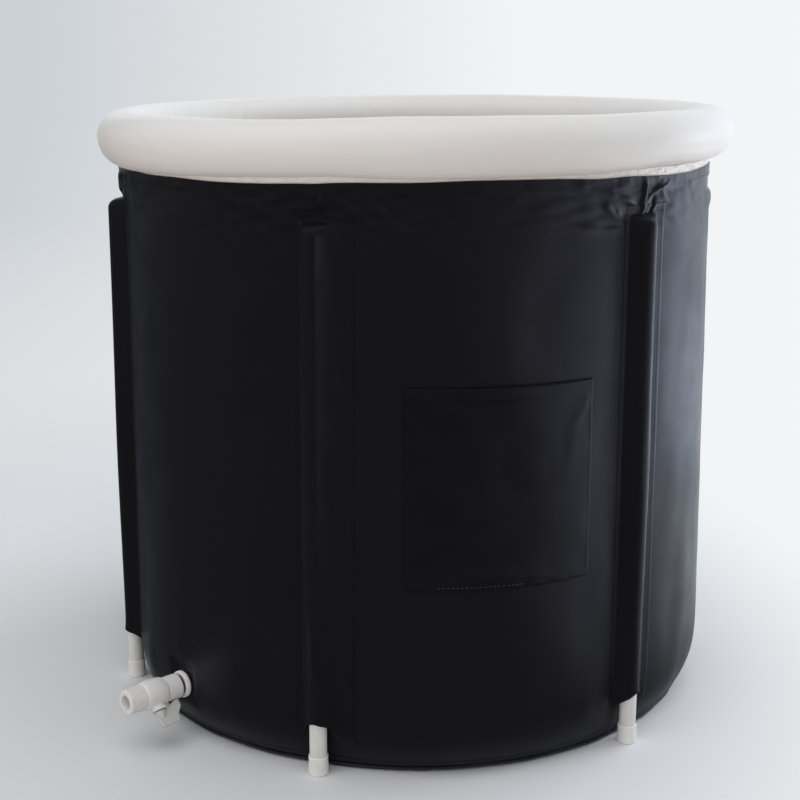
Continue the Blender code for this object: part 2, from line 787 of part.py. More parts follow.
def build_rim():
    """Inflated ring, hollow, with the hole for its inflation valve."""
    ring = place("rim_ring", torus_mesh("rim_ring", RIM_TUBE_RADIUS), rim_vinyl())
    combine(ring, helper("rim_hollow", torus_mesh("rim_hollow", RIM_TUBE_RADIUS - RIM_SKIN)), "DIFFERENCE")
    hole = NECK_RADIUS + NECK_CLEARANCE
    start = RIM_TUBE_RADIUS / 2
    cutter = turned("neck_hole", [
        (0, -start),
        (hole, -start),
        (hole, NECK_FLANGE_HEIGHT + CUT_OVERRUN),
        (0, NECK_FLANGE_HEIGHT + CUT_OVERRUN),
    ], INFLATION_SEGMENTS)
    combine(ring, helper("neck_hole", cutter, inflation_axis()), "DIFFERENCE")


def build_band():
    """White welded band between the rim and the hem, which also holds the liner."""
    inner = BAND_RADIUS - BAND_THICKNESS
    corners = [(inner, BAND_FOOT), (BAND_RADIUS, BAND_FOOT), (BAND_RADIUS, BAND_TOP), (inner, BAND_TOP)]
    rings = [round_ring(radius, height) for radius, height in corners]
    place("rim_band", mesh_from("rim_band", lambda bm: skin_rings(bm, rings, True)), band_vinyl())


def inflation_axis():
    """Empty on the rim's outer face at the back, its Z pointing out along +Y."""
    found = bpy.data.objects.get("inflation_axis")
    if found:
        return found
    axis = bpy.data.objects.new("inflation_axis", None)
    bpy.context.scene.collection.objects.link(axis)
    axis.location = (0, RIM_CIRCLE + RIM_FLAT_RADIUS + SEAT_GAP, RIM_HEIGHT)
    axis.rotation_euler.x = math.radians(-90)
    return axis


def build_inflation_valve():
    """Flanged neck welded into the rim, the flap at its inner end, and the stopper in its bore."""
    axis = inflation_axis()
    neck = turned("inflation_neck", [
        (NECK_BORE_RADIUS, -NECK_LENGTH),
        (NECK_RADIUS, -NECK_LENGTH),
        (NECK_RADIUS, 0),
        (NECK_FLANGE_RADIUS, 0),
        (NECK_FLANGE_RADIUS, NECK_FLANGE_HEIGHT),
        (NECK_BORE_RADIUS, NECK_FLANGE_HEIGHT),
    ], INFLATION_SEGMENTS)
    place("inflation_neck", neck, clear_vinyl(), axis)
    shut = -NECK_LENGTH - SEAT_GAP
    flap = turned("inflation_flap", [
        (0, shut - FLAP_THICKNESS), (FLAP_RADIUS, shut - FLAP_THICKNESS), (FLAP_RADIUS, shut), (0, shut),
    ], INFLATION_SEGMENTS)
    place("inflation_flap", flap, clear_vinyl(), axis)
    seat = NECK_FLANGE_HEIGHT + SEAT_GAP
    stopper = turned("inflation_stopper", [
        (0, seat - STOPPER_SHANK_LENGTH),
        (STOPPER_SHANK_RADIUS - STOPPER_EDGE, seat - STOPPER_SHANK_LENGTH),
        (STOPPER_SHANK_RADIUS, seat - STOPPER_SHANK_LENGTH + STOPPER_EDGE),
        (STOPPER_SHANK_RADIUS, seat),
        (STOPPER_RADIUS, seat),
        (STOPPER_RADIUS, seat + STOPPER_HEIGHT - STOPPER_EDGE),
        (STOPPER_RADIUS - STOPPER_EDGE, seat + STOPPER_HEIGHT),
        (0, seat + STOPPER_HEIGHT),
    ], INFLATION_SEGMENTS)
    place("inflation_stopper", stopper, rim_vinyl(), axis)


# The poles


def pole_mesh():
    bore = POLE_RADIUS - POLE_WALL
    return turned("pole", [
        (bore, POLE_FOOT), (POLE_RADIUS, POLE_FOOT), (POLE_RADIUS, POLE_TOP), (bore, POLE_TOP),
    ], POLE_SEGMENTS)


def foot_cup_mesh():
    """Tapered cup pushed onto the pole's foot."""
    inner = POLE_RADIUS + SEAT_GAP
    return turned("pole_foot", [
        (0, 0),
        (CUP_FOOT_RADIUS - CUP_EDGE, 0),
        (CUP_FOOT_RADIUS, CUP_EDGE),
        (CUP_MOUTH_RADIUS, CUP_HEIGHT),
        (inner, CUP_HEIGHT),
        (inner, CUP_FLOOR),
        (0, CUP_FLOOR),
    ], POLE_SEGMENTS)


def top_plug_mesh():
    """Domed plug that keeps the pole's top from wearing through its sleeve."""
    stub = POLE_RADIUS - POLE_WALL - SEAT_GAP
    shoulder = PLUG_SEAT + PLUG_HEAD_HEIGHT
    return turned("pole_top_plug", [
        (0, PLUG_SEAT - PLUG_STUB_LENGTH),
        (stub, PLUG_SEAT - PLUG_STUB_LENGTH),
        (stub, PLUG_SEAT),
        (POLE_RADIUS, PLUG_SEAT),
        (POLE_RADIUS, shoulder - PLUG_EDGE),
        (POLE_RADIUS - PLUG_EDGE, shoulder),
        (0, shoulder + PLUG_DOME_HEIGHT),
    ], POLE_SEGMENTS)


def build_poles():
    tube = pole_mesh()
    cup = foot_cup_mesh()
    plug = top_plug_mesh()
    for pole in range(POLE_COUNT):
        angle = FIRST_POLE_ANGLE + pole * PANEL_ANGLE
        parts = (
            place(f"pole_{pole + 1}", tube, pipe_plastic()),
            place(f"pole_foot_{pole + 1}", cup, cap_plastic()),
            place(f"pole_top_plug_{pole + 1}", plug, cap_plastic()),
        )
        for part in parts:
            part.location = polar(POLE_CIRCLE, angle, 0)
            part.rotation_euler.z = angle


# The drain


def drain_axis():
    """Empty on the tub's axis at the drain's height, its Z pointing out along -Y."""
    found = bpy.data.objects.get("drain_axis")
    if found:
        return found
    axis = bpy.data.objects.new("drain_axis", None)
    bpy.context.scene.collection.objects.link(axis)
    axis.location = (0, 0, DRAIN_HEIGHT)
    axis.rotation_euler.x = math.radians(90)
    return axis


def stem_axis():
    """Empty at the ball's centre: Z down the stem, X towards the wall."""
    found = bpy.data.objects.get("stem_axis")
    if found:
        return found
    axis = bpy.data.objects.new("stem_axis", None)
    bpy.context.scene.collection.objects.link(axis)
    down = Vector((math.sin(STEM_TILT), 0, -math.cos(STEM_TILT)))
    inwards = Vector((0, 1, 0))
    frame = Matrix((inwards, down.cross(inwards), down)).transposed().to_4x4()
    frame.translation = (0, -BALL_DISTANCE, DRAIN_HEIGHT)
    axis.matrix_world = frame
    return axis


def washer(name, inner, outer, start, thickness, finish, edge=0.0):
    """Flat ring on the drain's axis, its outer edges chamfered."""
    end = start + thickness
    profile = [(inner, start), (outer - edge, start), (outer, start + edge), (outer, end - edge), (outer - edge, end), (inner, end)]
    if not edge:
        profile = [(inner, start), (outer, start), (outer, end), (inner, end)]
    place(name, turned(name, profile, TURNED_SEGMENTS), finish, drain_axis())


def build_wall_fitting():
    """Flanged tube through the wall, with its gaskets, lock nut and sealing ring."""
    bore = FITTING_TUBE_RADIUS + RUNNING_FIT
    fitting = turned("drain_fitting", [
        (FITTING_BORE_RADIUS, FLANGE_FACE),
        (FITTING_FLANGE_RADIUS - FITTING_EDGE, FLANGE_FACE),
        (FITTING_FLANGE_RADIUS, FLANGE_FACE + FITTING_EDGE),
        (FITTING_FLANGE_RADIUS, FLANGE_BACK),
        (FITTING_TUBE_RADIUS, FLANGE_BACK),
        (FITTING_TUBE_RADIUS, FITTING_END),
        (FITTING_BORE_RADIUS, FITTING_END),
    ], TURNED_SEGMENTS)
    place("drain_fitting", fitting, valve_plastic(), drain_axis())
    gasket_start = INNER_GASKET_FACE - INNER_GASKET_THICKNESS
    washer("drain_inner_gasket", bore, INNER_GASKET_RADIUS, gasket_start, INNER_GASKET_THICKNESS, gasket_rubber())
    washer("drain_outer_gasket", bore, OUTER_GASKET_RADIUS, OUTER_GASKET_FACE, OUTER_GASKET_THICKNESS, gasket_rubber())
    washer("drain_lock_nut", bore, NUT_RADIUS, NUT_FACE, NUT_HEIGHT, valve_plastic(), NUT_EDGE)
    washer("drain_seal_ring", bore, SEAL_RADIUS, SEAL_FACE, SEAL_HEIGHT, gasket_rubber())


def build_collar():
    """Socket that screws onto the fitting, with a nose that holds the inner ball seat."""
    socket = FITTING_TUBE_RADIUS + RUNNING_FIT
    shelf = COLLAR_FACE + COLLAR_SOCKET_DEPTH
    collar = turned("valve_collar", [
        (socket, COLLAR_FACE),
        (COLLAR_RADIUS - COLLAR_EDGE, COLLAR_FACE),
        (COLLAR_RADIUS, COLLAR_FACE + COLLAR_EDGE),
        (COLLAR_RADIUS, COLLAR_END - COLLAR_EDGE),
        (COLLAR_RADIUS - COLLAR_EDGE, COLLAR_END),
        (NOSE_RADIUS, COLLAR_END),
        (NOSE_RADIUS, NOSE_END),
        (WATERWAY_RADIUS, NOSE_END),
        (WATERWAY_RADIUS, shelf),
        (socket, shelf),
    ], TURNED_SEGMENTS)
    place("valve_collar", collar, valve_plastic(), drain_axis())


def bulb_profile():
    """Outline of the body from its inlet face: a bulb round the ball, then the tapered outlet."""
    middle = BODY_FACE + BULB_LENGTH / 2
    points = []
    for share in (-1.0, -0.8, -0.5, 0.0, 0.5, 0.8, 1.0):
        ends = BODY_START_RADIUS if share < 0 else OUTLET_ROOT_RADIUS
        radius = ends + (BULB_RADIUS - ends) * math.sqrt(1 - share**2)
        points.append((radius, middle + share * BULB_LENGTH / 2))
    return points


def build_valve_body():
    """Bulb and outlet, with the stem's boss, the ball's cavity and the hose socket."""
    outside = [(0, BODY_FACE), *bulb_profile()]
    outside += [(OUTLET_RADIUS, OUTLET_END - OUTLET_EDGE), (OUTLET_RADIUS - OUTLET_EDGE, OUTLET_END), (0, OUTLET_END)]
    body = place("valve_body", turned("valve_body", outside, TURNED_SEGMENTS), valve_plastic(), drain_axis())
    lip = BOSS_END - BOSS_LIP_HEIGHT
    boss = turned("stem_boss", [
        (0, CAVITY_RADIUS),
        (BOSS_RADIUS, CAVITY_RADIUS),
        (BOSS_RADIUS, lip),
        (BOSS_LIP_RADIUS, lip),
        (BOSS_LIP_RADIUS, BOSS_END),
        (0, BOSS_END),
    ], TURNED_SEGMENTS)
    combine(body, helper("stem_boss", boss, stem_axis()), "UNION")
    pocket = BALL_DISTANCE + SEAT_BACK + SEAT_GAP
    inside = turned("body_hollow", [
        (0, BODY_FACE - CUT_OVERRUN),
        (CAVITY_RADIUS, BODY_FACE - CUT_OVERRUN),
        (CAVITY_RADIUS, pocket),
        (WATERWAY_RADIUS, pocket),
        (WATERWAY_RADIUS, SOCKET_FLOOR),
        (SOCKET_RADIUS, SOCKET_FLOOR),
        (SOCKET_RADIUS, OUTLET_END + CUT_OVERRUN),
        (0, OUTLET_END + CUT_OVERRUN),
    ], TURNED_SEGMENTS)
    combine(body, helper("body_hollow", inside, drain_axis()), "DIFFERENCE")
    recess = BALL_RADIUS + 2 * SEAT_GAP + STEM_SHOULDER_HEIGHT
    shoulder = STEM_SHOULDER_RADIUS + RUNNING_FIT
    bore = STEM_RADIUS + RUNNING_FIT
    stem_way = turned("stem_way", [
        (0, 0),
        (shoulder, 0),
        (shoulder, recess),
        (bore, recess),
        (bore, BOSS_END + CUT_OVERRUN),
        (0, BOSS_END + CUT_OVERRUN),
    ], STEM_SEGMENTS)
    combine(body, helper("stem_way", stem_way, stem_axis()), "DIFFERENCE")


def build_ball():
    """Ball with its waterway and the slot for the stem's tang."""
    quarter = math.pi / 2
    outline = arc((0, 0), BALL_RADIUS, -quarter, quarter, 10)
    outline[0] = (0, -BALL_RADIUS)
    outline[-1] = (0, BALL_RADIUS)
    ball = place("valve_ball", turned("valve_ball", outline, STEM_SEGMENTS), ball_plastic(), stem_axis())
    reach = BALL_RADIUS + CUT_OVERRUN
    bore = turned("ball_bore", [(0, -reach), (WATERWAY_RADIUS, -reach), (WATERWAY_RADIUS, reach), (0, reach)], TURNED_SEGMENTS)
    cutter = helper("ball_bore", bore, stem_axis())
    cutter.rotation_euler.y = math.radians(90)
    combine(ball, cutter, "DIFFERENCE")
    half = TANG_THICKNESS / 2 + RUNNING_FIT
    foot = BALL_RADIUS - TANG_DEPTH - SEAT_GAP
    slot = helper("tang_slot", box("tang_slot", (-half, -reach, foot), (half, reach, reach)), stem_axis())
    combine(ball, slot, "DIFFERENCE")


def build_seat(name, side):
    """Ball seat: a ring whose inner face leans on the ball, on one side (-1 inlet, 1 outlet)."""
    touching = BALL_RADIUS + SEAT_GAP
    near = math.sqrt(touching**2 - SEAT_INNER_RADIUS**2)
    far = BALL_RADIUS / 2
    back = SEAT_BACK
    profile = [(SEAT_INNER_RADIUS, near), (SEAT_OUTER_RADIUS, far), (SEAT_OUTER_RADIUS, back), (SEAT_INNER_RADIUS, back)]
    placed = [(radius, BALL_DISTANCE + side * along) for radius, along in profile]
    place(name, turned(name, placed, TURNED_SEGMENTS), seat_plastic(), drain_axis())


def build_stem():
    """Stem with its shoulder under the boss, O-ring groove, tang in the ball and square shank."""
    shoulder = BALL_RADIUS + SEAT_GAP
    top = shoulder + STEM_SHOULDER_HEIGHT
    groove_end = GROOVE_FOOT + GROOVE_HEIGHT
    shank_start = BOSS_END - SEAT_GAP
    turned_part = turned("valve_stem", [
        (0, shoulder),
        (STEM_SHOULDER_RADIUS, shoulder),
        (STEM_SHOULDER_RADIUS, top),
        (STEM_RADIUS, top),
        (STEM_RADIUS, GROOVE_FOOT),
        (GROOVE_RADIUS, GROOVE_FOOT),
        (GROOVE_RADIUS, groove_end),
        (STEM_RADIUS, groove_end),
        (STEM_RADIUS, shank_start),
        (0, shank_start),
    ], STEM_SEGMENTS)
    stem = place("valve_stem", turned_part, valve_plastic(), stem_axis())
    tang = box(
        "stem_tang",
        (-TANG_THICKNESS / 2, -TANG_WIDTH / 2, BALL_RADIUS - TANG_DEPTH),
        (TANG_THICKNESS / 2, TANG_WIDTH / 2, top - STEM_SHOULDER_HEIGHT / 2),
    )
    combine(stem, helper("stem_tang", tang, stem_axis()), "UNION")
    half = SHANK_HALF_WIDTH
    shank = box("stem_shank", (-half, -half, groove_end + STEM_RADIUS), (half, half, LEVER_TOP + SHANK_LENGTH))
    combine(stem, helper("stem_shank", shank, stem_axis()), "UNION")


def build_stem_oring():
    middle = GROOVE_FOOT + GROOVE_HEIGHT / 2
    major = STEM_RADIUS + RUNNING_FIT / 2 - ORING_SECTION_RADIUS
    outline = arc((major, middle), ORING_SECTION_RADIUS, 0, 2 * math.pi, 6)[:-1]
    place("stem_oring", turned("stem_oring", outline, STEM_SEGMENTS), gasket_rubber(), stem_axis())


def lever_plate_mesh():
    """Flat notched lever, standing in the plane of the stem."""
    corners = []
    for reach, drop in LEVER_OUTLINE_SHARES:
        corners.append(Vector((reach * LEVER_REACH, -LEVER_THICKNESS / 2, LEVER_TOP + drop * LEVER_DROP)))

    def build(bm):
        face = bm.faces.new([bm.verts.new(corner) for corner in corners])
        extruded = bmesh.ops.extrude_face_region(bm, geom=[face])
        moved = [item for item in extruded["geom"] if isinstance(item, bmesh.types.BMVert)]
        bmesh.ops.translate(bm, vec=(0, LEVER_THICKNESS, 0), verts=moved)
        rims = [e for e in bm.edges if abs(e.verts[0].co.y - e.verts[1].co.y) < LEVER_THICKNESS / 2]
        bmesh.ops.recalc_face_normals(bm, faces=bm.faces)
        bmesh.ops.bevel(bm, geom=rims, offset=LEVER_EDGE, segments=1, affect="EDGES")

    return mesh_from("valve_lever", build)


def build_lever():
    """Lever with the hub that takes the stem's square shank."""
    lever = place("valve_lever", lever_plate_mesh(), lever_plastic(), stem_axis())
    hub = turned("lever_hub", [
        (0, LEVER_TOP + LEVER_EDGE / 2),
        (HUB_RADIUS, LEVER_TOP + LEVER_EDGE / 2),
        (HUB_RADIUS, LEVER_TOP + HUB_HEIGHT),
        (0, LEVER_TOP + HUB_HEIGHT + HUB_RADIUS / 3),
    ], STEM_SEGMENTS)
    combine(lever, helper("lever_hub", hub, stem_axis()), "UNION")
    half = SHANK_HALF_WIDTH + RUNNING_FIT
    socket = box("lever_socket", (-half, -half, BOSS_END), (half, half, LEVER_TOP + SHANK_LENGTH + SEAT_GAP))
    combine(lever, helper("lever_socket", socket, stem_axis()), "DIFFERENCE")


def main():
    clear_scene()
    build_cover()
    build_base_piping()
    build_foam_wall()
    build_foam_base()
    build_liner()
    build_sleeves()
    build_side_pocket()
    build_rim()
    build_band()
    build_inflation_valve()
    build_poles()
    build_wall_fitting()
    build_collar()
    build_valve_body()
    build_ball()
    build_seat("ball_seat_inlet", -1)
    build_seat("ball_seat_outlet", 1)
    build_stem()
    build_stem_oring()
    build_lever()


main()
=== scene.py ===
"""Looks of the foldable bathtub: satin coated cloth with its folds and stitching, inflated vinyl, and
moulded plastic. Metres, +Z up, drain towards -Y, angles from -Y towards +X."""

import math

import bmesh
import bpy
import numpy as np
from mathutils import Matrix, Vector


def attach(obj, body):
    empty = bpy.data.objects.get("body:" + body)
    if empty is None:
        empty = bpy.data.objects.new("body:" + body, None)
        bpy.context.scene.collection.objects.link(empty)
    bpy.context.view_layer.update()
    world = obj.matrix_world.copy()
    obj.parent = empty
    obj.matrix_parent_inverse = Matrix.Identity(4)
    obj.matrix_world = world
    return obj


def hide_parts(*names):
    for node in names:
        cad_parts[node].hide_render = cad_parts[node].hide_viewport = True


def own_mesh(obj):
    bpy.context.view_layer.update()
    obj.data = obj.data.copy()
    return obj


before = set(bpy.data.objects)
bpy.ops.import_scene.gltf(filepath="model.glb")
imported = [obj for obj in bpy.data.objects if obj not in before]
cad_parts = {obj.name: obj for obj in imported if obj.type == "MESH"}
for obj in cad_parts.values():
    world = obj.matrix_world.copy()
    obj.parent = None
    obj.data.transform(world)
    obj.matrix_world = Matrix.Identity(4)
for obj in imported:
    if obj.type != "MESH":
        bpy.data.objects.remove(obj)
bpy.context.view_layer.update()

PI = math.pi
SHARP = math.radians(32)

# Poles, hem and wall
POLES = 6
PANEL = 2 * PI / POLES
FIRST = math.radians(-30)
POLE_CIRCLE, POLE_R = 0.374, 0.010
GIRTH_R, INNER_R = 0.37, 0.36  # turn angles into lengths along the wall's two sides
HEM_R, HEM_Z = 0.3687, 0.670
LOW_R, TOP_R = 0.3795, 0.3700
AT_POLE_R = POLE_CIRCLE - POLE_R - 0.0003
CORNER_Z, BASE_R = 0.088, 0.3505
GATHER_LOW, GATHER_HIGH = 0.632, 0.657
COVER_T, FOAM_T, LINER_T, GAP = 0.001, 0.004, 0.0008, 0.0003
FOLD_Z = 0.12  # cloth below this stays on the floor side when the wall folds
CUFF_Z, FOLD_TRAVEL = 0.640, 0.50  # cloth above this goes down with the rim

# Rim
RIM_C, RIM_TUBE, RIM_Z = 0.3645, 0.0305, 0.7091
BAND_R, BAND_TOP = 0.3674, 0.6795

# Drain
DRAIN_Z, BALL_Y, TILT = 0.065, -0.4215, math.radians(40)
CLAMP_Y = 0.3755


# Numbers that vary smoothly


def waves(x, y, seed, scale, count=7):
    """Smooth noise in two directions, about -1 to 1, from seeded sine waves of about this wavelength."""
    rng = np.random.default_rng(seed)
    total = np.zeros(np.broadcast(x, y).shape)
    for _ in range(count):
        turn = rng.uniform(0, 2 * PI)
        k = 2 * PI / (scale * rng.uniform(0.6, 1.6))
        total += np.sin(k * (np.cos(turn) * x + np.sin(turn) * y) + rng.uniform(0, 2 * PI))
    return total / math.sqrt(count) / 1.4


def step(a, b, x):
    t = np.clip((x - a) / (b - a), 0, 1)
    return t * t * (3 - 2 * t)


def bell(x):
    return np.exp(-(x**2))


def ridge(x, z, points, width, height):
    """A rounded fold along a line of points, in the wall's own plane, fading at both ends."""
    best = np.full(np.broadcast(x, z).shape, 1e9)
    along = np.zeros_like(best)
    pts = np.array(points, float)
    lengths = np.hypot(*np.diff(pts, axis=0).T)
    total, run = lengths.sum(), 0.0
    for p, q, length in zip(pts, pts[1:], lengths):
        d = (q - p) / length
        t = np.clip((x - p[0]) * d[0] + (z - p[1]) * d[1], 0, length)
        far = np.hypot(x - p[0] - t * d[0], z - p[1] - t * d[1])
        nearer = far < best
        best = np.where(nearer, far, best)
        along = np.where(nearer, (run + t) / total, along)
        run += length
    fade = np.minimum(step(-0.05, 0.2, along), 0.35 + 0.65 * step(1.05, 0.75, along))
    return height * bell(best / width) * fade


def nearest_pole(phi):
    turns = (phi - FIRST) / PANEL
    k = np.round(turns)
    return k.astype(int) % POLES, (turns - k) * PANEL


# Folds round a pole's head, in mm: sideways from the pole, height, then half width and depth
RIGHT_FOLDS = (
    (((1, 668), (-1, 652), (-3, 630)), 3.2, 3.0),
    (((52, 666), (24, 656), (6, 647), (-2, 634)), 3.0, 2.6),
    (((28, 660), (36, 648), (44, 642), (66, 634)), 3.6, 2.0),
    (((-60, 655), (-34, 648), (-9, 640), (-4, 632)), 4.0, 2.0),
    (((-64, 645), (-47, 631), (-31, 620)), 4.0, 2.2),
    (((-44, 638), (-30, 622)), 2.6, 1.2),
    (((100, 662), (108, 652), (122, 638)), 5.0, 1.4),
    (((17, 650), (19, 640), (14, 629)), 2.8, -3.4),
    (((46, 599), (82, 596), (143, 595)), 4.5, 0.9),
    (((-92, 620), (-60, 616), (-32, 616)), 4.0, 0.8),
    (((58, 652), (80, 645), (104, 644)), 5.0, 1.0),
)
FRONT_FOLDS = (
    (((-14, 664), (-6, 650), (1, 640)), 3.0, 1.4),
    (((16, 666), (8, 652), (3, 641)), 3.0, 1.5),
    (((-26, 624), (0, 626), (20, 625)), 3.5, 1.0),
    (((-78, 650), (-54, 636), (-30, 628)), 6.0, 1.2),
    (((-110, 655), (-96, 646), (-80, 641)), 6.0, 1.0),
    (((40, 660), (52, 646), (84, 636)), 6.0, 1.3),
    (((34, 640), (60, 628), (100, 622)), 6.0, 0.9),
    (((1, 656), (2, 646), (1, 637)), 2.6, -2.0),
)
LEFT_FOLDS = (
    (((4, 668), (2, 655), (0, 634)), 3.0, 2.6),
    (((24, 666), (20, 654), (8, 640)), 3.2, 2.4),
    (((46, 666), (50, 652), (34, 638)), 4.0, 1.8),
    (((72, 664), (84, 652), (96, 642)), 5.0, 1.4),
    (((-30, 662), (-22, 650), (-8, 638)), 3.4, 2.2),
    (((-56, 656), (-40, 645), (-20, 634)), 4.0, 1.6),
    (((14, 640), (47, 629), (123, 634)), 5.0, 1.0),
    (((-14, 640), (-15, 634), (-14, 628)), 3.0, -3.0),
)


def folds_of(pole):
    """The folds of one pole's head. Those out of sight vary the others, some of them mirrored."""
    if pole == 2:
        return RIGHT_FOLDS, 1, 0
    if pole == 1:
        return FRONT_FOLDS, 1, 0
    if pole == 0:
        return LEFT_FOLDS, 1, 0
    return ((LEFT_FOLDS, RIGHT_FOLDS, FRONT_FOLDS)[pole % 3], -1, 40 + pole)


def fold_offset(phi, z):
    """Outward offset of the loose cloth below the hem."""
    pole, angle = nearest_pole(phi)
    x = angle * 0.369 * 1000
    h = z * 1000
    total = np.zeros(np.broadcast(phi, z).shape)
    for k in range(POLES):
        folds, side, seed = folds_of(k)
        rng = np.random.default_rng(900 + seed)
        here = np.zeros_like(total)
        for points, width, height in folds:
            shift = rng.uniform(-6, 6) if seed else 0
            pts = [(side * a + shift, b) for a, b in points]
            here += ridge(x, h, pts, width, height * (1.25 if k == 2 else 1))
        total = np.where(pole == k, here, total)
    return total / 1000


def pole_share(phi):
    turns = (phi - FIRST) / PANEL
    return 2 * np.abs(turns - np.round(turns))


def plain_radius(phi, z):
    """The wall without small folds."""
    share = pole_share(phi)
    rise = (z - CORNER_Z) / (GATHER_LOW - CORNER_Z)
    middle = LOW_R + (TOP_R - LOW_R) * np.clip(rise, 0, 1)
    wall = middle - (middle - AT_POLE_R) * (1 - share) ** 2
    low = LOW_R - (LOW_R - AT_POLE_R) * (1 - share) ** 2
    corner = low - (low - BASE_R) * np.clip(1 - z / CORNER_Z, 0, 1) ** 2.7
    up = step(0.618, GATHER_HIGH, z)
    wall = wall + (HEM_R - wall) * up
    return np.where(z < CORNER_Z, corner, wall)


def clamped(radius, phi, z, inset=0.0):
    """Flattens a layer where the drain's fitting clamps the wall."""
    turn = np.abs((phi + PI) % (2 * PI) - PI)
    flat = step(0.062, 0.048, turn) * step(0.030, 0.044, z) * step(0.102, 0.088, z)
    return radius + ((CLAMP_Y - inset) / np.maximum(np.cos(turn), 0.2) - radius) * flat


def cover_radius(phi, z):
    """Outer face of the cover, with its folds, the foam's unevenness and the flat under the drain."""
    plain = plain_radius(phi, z)
    arc = phi * GIRTH_R
    share = pole_share(phi)
    loose = step(0.05, 0.35, share)
    body = step(0.012, 0.07, z) * step(0.668, 0.60, z)
    rough = 0.0007 * waves(arc, z, 3, 0.16) + 0.00035 * waves(arc, z * 0.5, 4, 0.05)
    pull = 0.0006 * waves(arc * 1.6, z * 0.25, 5, 0.09) * step(0.45, 0.0, z)
    near_top = step(0.585, 0.612, z) * step(0.671, 0.659, z)
    clear = np.maximum(step(0.617, 0.626, z), step(0.03, 0.09, share))
    crumple = 0.0011 * waves(arc, z * 1.3, 6, 0.030) * step(0.60, 0.635, z) * step(0.672, 0.662, z)
    crumple *= 0.35 + 0.65 * step(0.75, 0.1, share)
    hem = 0.00035 * waves(arc, z * 0, 7, 0.014) * step(0.652, 0.664, z)
    radius = plain + (rough + pull) * loose * body
    radius = radius + (fold_offset(phi, z) * near_top + crumple) * clear + hem
    hem_fold = 0.0004 * step(0.6555, 0.6585, z)
    radius = radius + hem_fold + bulge(phi, z)
    outside = BAND_R + 0.0014 - 0.03 * step(0.6565, 0.6480, z)
    return clamped(np.maximum(radius, outside), phi, z)


def bulge(phi, z):
    """Where the loose top of the cover stands out at both sides of the view."""
    left = bell((phi - math.radians(-36)) / 0.075)
    right = bell((phi - math.radians(125)) / 0.10)
    pout = step(0.626, 0.638, z) * step(0.655, 0.642, z)
    edge = 0.0026 * step(0.612, 0.630, z) * step(0.643, 0.635, z) - 0.0016 * step(0.636, 0.643, z)
    return left * (0.0030 * pout + 0.0026 * step(0.650, 0.668, z)) + right * edge


# Degrees from the drain, and the hem's height above level there in mm
HEM_SHAPE = (
    (-75, 0), (-55, -3.5), (-45, -5), (-35, -5), (-28, -3.6), (-20, -3), (-15, -3.4), (-10, -4.4),
    (-5, -3.8), (0, -3.4), (5, -3.7), (10, -4.4), (15, -4.5), (20, -3.4), (25, -2), (30, 0.2), (35, 0.9),
    (40, 1), (45, 0.8), (50, 1.7), (55, 2.8), (60, 3.4), (65, 3.5), (70, 2.3), (75, 1.5), (80, 0.7),
    (85, 1.2), (90, 1.8), (95, -0.2), (100, -1.6), (105, -1.1), (110, 0.2), (117, 1.2), (125, 1.5),
    (140, 0.5), (160, -0.8), (200, 0.8), (240, -1),
)
# Degrees, how far the tube's top sinks there, and its underside's height outside the band, in mm
RIM_SHAPE = (
    (-120, 2.4, 677), (-100, 3.6, 676), (-80, 4, 674.5), (-60, 5.5, 671), (-45, 6.6, 668), (-35, 6.8, 667),
    (-20, 6.8, 666.8), (-10, 6.6, 667), (7, 5.6, 670), (20, 5.6, 672.5), (33, 2.6, 676.5), (40, 0.8, 675.2),
    (45, -0.3, 673.7), (55, -0.3, 674.8), (67, 0, 676.2), (80, 0, 674.5), (86, -0.5, 678), (92, -1, 681),
    (105, -0.5, 680), (120, 0, 679), (140, 0, 677.5), (180, 0, 677.5), (210, 0, 677.5), (225, 1, 677.5),
)


def around(table, phi, column=1):
    """A number that is given at some angles round the tub, eased between them, in metres."""
    grid = np.arange(360)
    values = np.interp(grid, [row[0] for row in table], [row[column] for row in table], period=360)
    weights = {k: math.exp(-((k / 3.2) ** 2)) for k in range(-7, 8)}
    eased = sum(weight * np.roll(values, k) for k, weight in weights.items()) / sum(weights.values())
    return np.interp(np.degrees(phi), grid, eased, period=360) / 1000


def hem_lift(phi):
    """The hem isn't level: it sinks on the left, with the rim, and waves a little elsewhere."""
    dip = -0.0009 * bell(pole_share(phi) / 0.10) + 0.0004 * waves(phi * GIRTH_R, phi * 0, 8, 0.11)
    return dip + around(HEM_SHAPE, phi)


def band_drop(phi):
    """How far the band's top is pressed down under the rim."""
    return np.maximum(0.6775 - around(RIM_SHAPE, phi, 2), 0)


def polar(radius, phi, z):
    radius, phi, z = np.broadcast_arrays(radius, phi, z)
    return np.stack([radius * np.sin(phi), -radius * np.cos(phi), z], -1)


def columns(dense=0.0021, coarse=0.0050):
    """Angles round the tub, closer together near the poles."""
    angles = []
    near = math.radians(15)
    for k in range(POLES):
        centre = FIRST + k * PANEL
        count = int(2 * near * GIRTH_R / dense)
        angles += list(centre - near + 2 * near * np.arange(count) / count)
        rest = PANEL - 2 * near
        count = int(rest * GIRTH_R / coarse)
        angles += list(centre + near + rest * np.arange(count) / count)
    return np.array(angles)


def rows(*stops):
    """Heights from (height, spacing to the next) pairs."""
    out = []
    for (a, gap), (b, _) in zip(stops, stops[1:]):
        count = max(1, round((b - a) / gap))
        out += list(a + (b - a) * np.arange(count) / count)
    return np.array(out + [stops[-1][0]])


# Meshes


